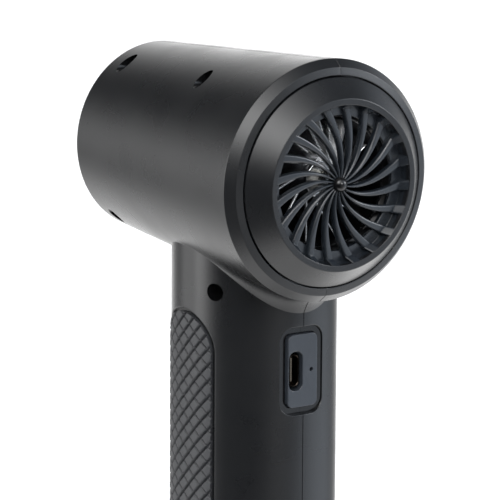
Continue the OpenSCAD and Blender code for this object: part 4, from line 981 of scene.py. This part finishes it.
blades = piece("intake_blades", "intake_grille", grille_parts)
blacken_faces(blades, lambda x, y, z: (
    np.hypot(x, z - axis_h) < dome_r + face_slack) & (y > blade_top_y + face_slack))

# %% [markdown]
# Behind the grille a turned lip leads the air into the duct. It is polished in the mould, because the
# air runs over it, and its round inner edge shows as bright slivers between the blades.

# %% Bellmouth
bell_outline = rounded([
    (17.2, 33.9, 0.1), (17.3, 34.9, 0.9), (18.5, 35.8, 0.5), (22.8, 35.8, 0.3), (22.8, 34.6, 0.2),
    (20.0, 34.6, 0), (20.0, 29.0, 0.2), (18.5, 29.0, 0.2), (18.5, 33.9, 0)])
piece("intake_bellmouth", "bellmouth", [turned(bell_outline, 192)])

# %% [markdown]
# The impeller is cut from an aluminium bar on a five-axis mill: eleven blades stand on a tapered hub and
# lean by the same pitch all along. A nut clamps it on the shaft, so it turns with the rotor.

# %% Impeller and its nut
impeller_count, impeller_pitch, impeller_r = 11, radians(42), 16.85
vane_half_t, vane_half_w, vane_side, vane_y = 0.4, 6.15, 0.315, 25.55
vane_sink, vane_stations, vane_low_round, vane_high_round, shaft_bore = 1.2, 26, 0.3, 0.38, 2.03
hub_line = np.array([[10.5, 19.2], [10.5, 20.7], [6.925, 27.0], [5.0, 31.2]])  # radius and place


def impeller_blade(turn):
    """Closed blade: a slanted bar section with round edges, carried from inside the hub to the tip
    circle. Its reach is sqrt(tip radius^2 - sideways place^2), so that the tips lie on one circle."""
    section = rounded([
        (vane_half_t, -vane_half_w, vane_low_round), (vane_half_t, vane_half_w, vane_high_round),
        (-vane_half_t, vane_half_w, vane_high_round), (-vane_half_t, -vane_half_w, vane_low_round)],
        steps=4)
    section = stepped(section, 0.6)
    side = vane_side + section[:, 1] * sin(impeller_pitch) + section[:, 0] * cos(impeller_pitch)
    y = vane_y + section[:, 1] * cos(impeller_pitch) - section[:, 0] * sin(impeller_pitch)
    inner = np.interp(y, hub_line[:, 1], hub_line[:, 0]) - vane_sink
    outer = np.sqrt(impeller_r ** 2 - side ** 2)
    out = inner + (outer - inner) * np.linspace(0, 1, vane_stations)[:, None]
    return tube_part(np.stack([-out * sin(turn) + side * cos(turn), y + 0 * out,
                               axis_h - out * cos(turn) - side * sin(turn)], -1))


hub_outline = rounded([(shaft_bore, hub_line[0, 1], 0)] + [
    (*corner, round_r) for corner, round_r in zip(hub_line, (0.3, 1.0, 3.0, 0.4))] + [
    (shaft_bore, hub_line[-1, 1], 0.2)])
impeller_parts = [turned(stepped(hub_outline, 0.8), 96)] + [
    impeller_blade(2 * np.pi * i / impeller_count) for i in range(impeller_count)]
piece("turned_impeller", "impeller", impeller_parts, body="rotor")


nut_r, nut_step, nut_low_y, nut_high_y = 3.4, 0.4375, 31.25, 33.85
crown_foot_y, crown = 33.3, [(33.55, 3.2), (nut_high_y, 2.9)]  # place and greatest radius of its rings


def hexagon(y):
    """Ring of points on the nut's six sides, no further apart than its step, at a place along the axis."""
    corner = np.arange(6) * np.pi / 3
    ring = stepped(np.stack([nut_r * np.cos(corner), nut_r * np.sin(corner)], -1), nut_step)
    return np.stack([ring[:, 0], np.full(len(ring), y), axis_h + ring[:, 1]], -1)


def round_to(ring, radius):
    """The same ring drawn in to at most a radius from the barrel axis."""
    x, z = ring[:, 0], ring[:, 2] - axis_h
    scale = np.minimum(radius / np.hypot(x, z), 1)
    return np.stack([x * scale, ring[:, 1], axis_h + z * scale], -1)


bore_scale = shaft_bore / np.hypot(hexagon(0)[:, 0], hexagon(0)[:, 2] - axis_h)[:, None]
nut_levels = [hexagon(nut_low_y), hexagon(crown_foot_y)] + [round_to(hexagon(y), r) for y, r in crown]
for level in (nut_high_y, nut_low_y):
    ring = hexagon(level) - [0, 0, axis_h]
    nut_levels.append(ring * [1, 0, 1] * bore_scale + [0, level, axis_h])
nut_levels.append(nut_levels[0])
piece("clamping_nut", "impeller_nut", [sheet(np.stack(nut_levels), closed=True)], body="rotor")

# %% [markdown]
# The front of the barrel carries the outlet ring: a grooved collar where a nozzle snaps on, and a
# straight bore for the air. It is turned round the same axis as the intake.

# %% Outlet nozzle
nozzle_outline = rounded([
    (15.5, -51.3, 0.3), (23.2, -51.3, 0.3), (24.2, -50.3, 0.3), (24.2, -48.9, 0.2), (22.6, -48.9, 0.1),
    (22.6, -46.9, 0.1), (23.6, -46.9, 0.2), (23.6, -45.4, 0.2), (16.8, -45.4, 0.3), (16.8, -38.3, 0.4),
    (18.4, -31.2, 0.2), (18.4, -30.2, 0.1), (17.2, -30.2, 0), (14.3, -38.3, 0), (15.5, -38.3, 0)])
piece("outlet_ring", "outlet_nozzle", [turned(nozzle_outline, 256)])

# %% [markdown]
# The trigger slides in its window. Its face is hollowed for one finger, its upright edges are well
# rounded, and a wider flange inside the handle keeps it from falling out. The spring's room is cored out.

# %% Trigger
trigger_face, flange_face, flange_back = -31.0, -19.19, -17.69
trigger_middle = (trigger_low + trigger_high) / 2
trigger_corner, trigger_round = 5.0, 0.6
finger_r, finger_y, deepest_y = 30.0, -59.0, -20.0
flange_half_w, flange_over = 8.6, 1.6
room_half_w, room_wall, room_front, room_back = 5.4, 1.6, -27.4, -17.0
plain_inset, plain_rows = 0.9, 70  # the rows between the rounded ends start this far from them


def trigger_ring(z, inset):
    """Outline of the trigger at a height, drawn in by an inset. The finger hollow is part of a cylinder
    lying across it, which pushes the face back."""
    half = trigger_half - inset
    front = trigger_face + inset
    ring = rounded([(half, flange_back, 0), (-half, flange_back, 0), (-half, front, trigger_corner - inset),
                    (half, front, trigger_corner - inset)], steps=16)
    dip = finger_y + np.sqrt(finger_r ** 2 - (z - trigger_middle) ** 2)
    return np.stack([ring[:, 0], np.maximum(ring[:, 1], min(dip, deepest_y)), np.full(len(ring), z)], -1)


round_turn = np.linspace(0, np.pi / 2, 6)
end_rows = [(trigger_round * (1 - sin(t)), trigger_round * (1 - cos(t))) for t in round_turn]
low_rows = [(trigger_low + up, inset) for up, inset in end_rows[::-1]]
high_rows = [(trigger_high - down, inset) for down, inset in end_rows]
middle_rows = [(z, 0.0) for z in np.linspace(
    trigger_low + plain_inset, trigger_high - plain_inset, plain_rows)]
trigger_key = formed("trigger_key", [tube_part(np.stack(
    [trigger_ring(*row) for row in low_rows + middle_rows + high_rows]))])


def box_part(x0, x1, y0, y1, z0, z1):
    """Closed box between two corners."""
    ring = np.array([[x0, y0], [x1, y0], [x1, y1], [x0, y1]], float)
    return tube_part(np.stack([np.column_stack([ring, np.full(4, z)]) for z in (z0, z1)]))


trigger_key = combined(trigger_key, "UNION", [formed("flange", [box_part(
    -flange_half_w, flange_half_w, flange_face, flange_back,
    trigger_low - flange_over, trigger_high + flange_over)])])
trigger_key = combined(trigger_key, "DIFFERENCE", [formed("room", [box_part(
    -room_half_w, room_half_w, room_front, room_back, trigger_low + room_wall, trigger_high - room_wall)])])
finish_piece(trigger_key, "trigger", body="trigger")

# %% [markdown]
# The return spring is wound round the plunger from one unbroken wire. It stands between the trigger's
# web and the switch. The trigger's travel is listed with its sizes, but nothing here shortens the spring.

# %% Return spring
coil_r, wire_r, coil_turns, trigger_travel = 3.5, 0.35, 7, 6.0
spring_front, spring_back = -27.3, -10.49
coil_steps, wire_steps = 40, 14
spring_turn = np.linspace(0, 2 * np.pi * coil_turns, coil_steps * coil_turns + 1)
spring_y = np.linspace(spring_front + wire_r, spring_back - wire_r, len(spring_turn))
around = np.linspace(0, 2 * np.pi, wire_steps, endpoint=False)[None]
wire_out = coil_r + wire_r * np.cos(around)
return_spring = piece("return_spring", "trigger_spring", [tube_part(np.stack([
    wire_out * np.cos(spring_turn[:, None]), spring_y[:, None] + wire_r * np.sin(around),
    trigger_middle + wire_out * np.sin(spring_turn[:, None])], -1))])
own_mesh(return_spring)

# %% [markdown]
# The charging port sits in its sunken frame: a separate blue-grey panel with a slot for the plug and a
# pinhole for the charge light. A drawn steel shell with a moulded tongue stands behind the slot.


# %% Charging port
def port_stack(width, height, radius, levels, x=0.0):
    """Closed body across the port: rings of a round-cornered rectangle, each wider by its level's
    amount, at its level's place along Y."""
    rings = []
    for y, wider in levels:
        ring = rounded_box_outline(width + 2 * wider, height + 2 * wider, radius + wider, steps=10)
        rings.append(np.stack([ring[:, 0] + x, np.full(len(ring), y), ring[:, 1] + port_z], -1))
    return tube_part(np.stack(rings))


def edge_round(y, radius, outward):
    """Levels of a quarter round that ends at y; it draws a body in, or opens a cutter outward."""
    side = 1 if outward else -1
    return [(y - radius * (1 - sin(t)), side * radius * (1 - cos(t))) for t in np.linspace(0, np.pi / 2, 5)]


# width, height and corner radius of each outline; every level is a place along Y and how much wider
panel_size, slot_size, pinhole_size = (9.6, 20.1, 1.8), (4.26, 10.74, 1.83), (1.1, 1.1, 0.54)
socket_size, tongue_size = (3.26, 8.94, 1.62), (0.7, 6.7, 0.2)
slot_x, pinhole_x = 2.2, -2.8

panel_levels = [(20.0, 0.0)] + edge_round(panel_face_y, 0.25, False)
panel = formed("charging_panel", [port_stack(*panel_size, panel_levels)])
panel = combined(panel, "UNION", [formed("flange", [port_stack(*panel_size, [(19.0, 0.9), (20.3, 0.9)])])])
holes = []
for name, size, edge, x in (("slot", slot_size, 0.3, slot_x), ("pinhole", pinhole_size, 0.08, pinhole_x)):
    hole_levels = [(18.5, 0)] + edge_round(panel_face_y, edge, True) + [(24.0, edge)]
    holes.append(formed(name, [port_stack(*size, hole_levels, x)]))
panel = combined(panel, "DIFFERENCE", holes)
finish_piece(panel, "port_panel")

socket_levels = [(14.9, 0.0), (22.05, 0.0), (22.2, -0.15), (22.05, -0.3), (15.7, -0.3)]
piece("drawn_socket", "usb_socket", [port_stack(*socket_size, socket_levels, slot_x)])
tongue_levels = [(15.72, 0.0), (20.65, 0.0), (20.8, -0.12)]
piece("socket_tongue_bar", "usb_tongue", [port_stack(*tongue_size, tongue_levels, slot_x)])

# %% [markdown]
# Dark satin plastic shows little of its own colour: it is drawn by what it mirrors. The studio is
# therefore a set of soft cards all round, each bright in its middle and fading over some 25 degrees. The
# strong ones are the key above the camera's left, a card far left and one on the right; the weak ones
# fill in below and behind. Two small glint cards show only in round edges, as thin bright lines. The camera
# sees none of them, only the pale backdrop.

# %% Studio cards
neutral_cards = [
    # azimuth from +X towards +Y, elevation, strength
    (30, 42, 6.8), (60, 42, 1.6), (60, 65, 1.7), (320, 0, 4.5), (336, 20, 2.1), (85, -14, 0.45),
    (240, 42, 0.8), (240, 20, 0.7), (220, 0, 1.05), (240, 0, 1.2), (240, -20, 1.05), (264, -20, 0.9),
    (120, -42, 0.9), (150, -42, 1.2), (180, -42, 0.6), (210, -42, 2.2), (270, -42, 0.55),
    (300, -42, 2.0), (330, -42, 0.8), (0, -65, 1.6), (60, -65, 1.3), (120, -65, 1.0), (180, -65, 1.2),
    (0, -90, 0.7)]
cool_cards = [
    (90, 42, 0.4), (144, 20, 2.8), (120, 42, 1.3), (140, 0, 0.85), (168, -20, 1.1), (144, -20, 0.6),
    (120, -20, 0.5), (192, 20, 0.6)]
glint_cards = [(89, 22, 18.0), (150, 18, 16.0)]
card_focus, glint_focus, floor_lift = 20.0, 120.0, 0.16

world = bpy.data.worlds.new("studio")
bpy.context.scene.world = world
world.use_nodes = True
sky = world.node_tree
sky.nodes.clear()
place = add(sky, "ShaderNodeTexCoord").outputs["Object"]
outward = add(sky, "ShaderNodeVectorMath", {0: place}, operation="NORMALIZE").outputs["Vector"]


def glow_of(cards, focus):
    """Sum of the cards' light in a direction. Each gives strength * exp(focus * (cosine - 1)), where the
    cosine is that of the angle between the direction and the card's middle."""
    total = 0.0
    for azimuth, elevation, strength in cards:
        a, e = radians(azimuth), radians(elevation)
        middle = (cos(a) * cos(e), sin(a) * cos(e), sin(e))
        facing = add(sky, "ShaderNodeVectorMath", {0: outward, 1: middle}, operation="DOT_PRODUCT")
        fall = add(sky, "ShaderNodeMath", {0: facing.outputs["Value"], 1: focus, 2: -focus},
                   operation="MULTIPLY_ADD")
        soft = add(sky, "ShaderNodeMath", {0: fall.outputs[0]}, operation="EXPONENT")
        total = add(sky, "ShaderNodeMath", {0: soft.outputs[0], 1: strength, 2: total},
                    operation="MULTIPLY_ADD").outputs[0]
    return total


studio = None
for cards, focus, tint in ((neutral_cards, card_focus, "#ffffff"), (cool_cards, card_focus, "#e9f3ff"),
                           (glint_cards, glint_focus, "#ffffff")):
    lit = add(sky, "ShaderNodeBackground",
              {"Color": linear(tint), "Strength": glow_of(cards, focus)}).outputs[0]
    studio = lit if studio is None else add(sky, "ShaderNodeAddShader", {0: studio, 1: lit}).outputs[0]
backdrop = add(sky, "ShaderNodeBackground", {"Color": linear("#fefefe"), "Strength": 1.0}).outputs[0]
path = add(sky, "ShaderNodeLightPath")
seen = add(sky, "ShaderNodeMath",
           {0: path.outputs["Is Camera Ray"], 1: path.outputs["Is Transmission Ray"]}, operation="MAXIMUM")
both = add(sky, "ShaderNodeMixShader", {0: seen.outputs[0], 1: studio, 2: backdrop})
add(sky, "ShaderNodeOutputWorld", {"Surface": both.outputs[0]})
print(len(neutral_cards) + len(cool_cards) + len(glint_cards), "studio cards")

# %% [markdown]
# The floor is matt white paper. Seen straight it gets a little glow of its own, so that it reaches the
# backdrop's white and still keeps the blower's shadow. Mirrors don't see it: the low cards stand there.

# %% Floor
floor_material, tree = empty_material("studio_floor_matt_white")
place = add(tree, "ShaderNodeTexCoord").outputs["Object"]
fibre = add(tree, "ShaderNodeTexNoise", {"Vector": place, "Scale": grains_per_metre(6), "Detail": 2.0})
tone = add(tree, "ShaderNodeMix", {"Factor": fibre.outputs["Fac"], "A": linear("#eeeeee"),
                                   "B": linear("#f1f1f1")}, data_type="RGBA")
matt = add(tree, "ShaderNodeBsdfDiffuse", {"Color": tone.outputs["Result"]})
path = add(tree, "ShaderNodeLightPath")
lift = add(tree, "ShaderNodeMath", {0: path.outputs["Is Camera Ray"], 1: floor_lift}, operation="MULTIPLY")
glow = add(tree, "ShaderNodeEmission", {"Color": linear("#ffffff"), "Strength": lift.outputs[0]})
both = add(tree, "ShaderNodeAddShader", {0: matt.outputs[0], 1: glow.outputs[0]})
add(tree, "ShaderNodeOutputMaterial", {"Surface": both.outputs[0]})
floor_r = 4.0  # metres
bpy.ops.mesh.primitive_circle_add(vertices=96, radius=floor_r, fill_type="NGON", location=(0, 0, 0))
floor = bpy.context.object
floor.name = "floor"
floor.data.materials.append(floor_material)
floor.visible_glossy = False

bpy.context.scene.view_settings.view_transform = "Standard"
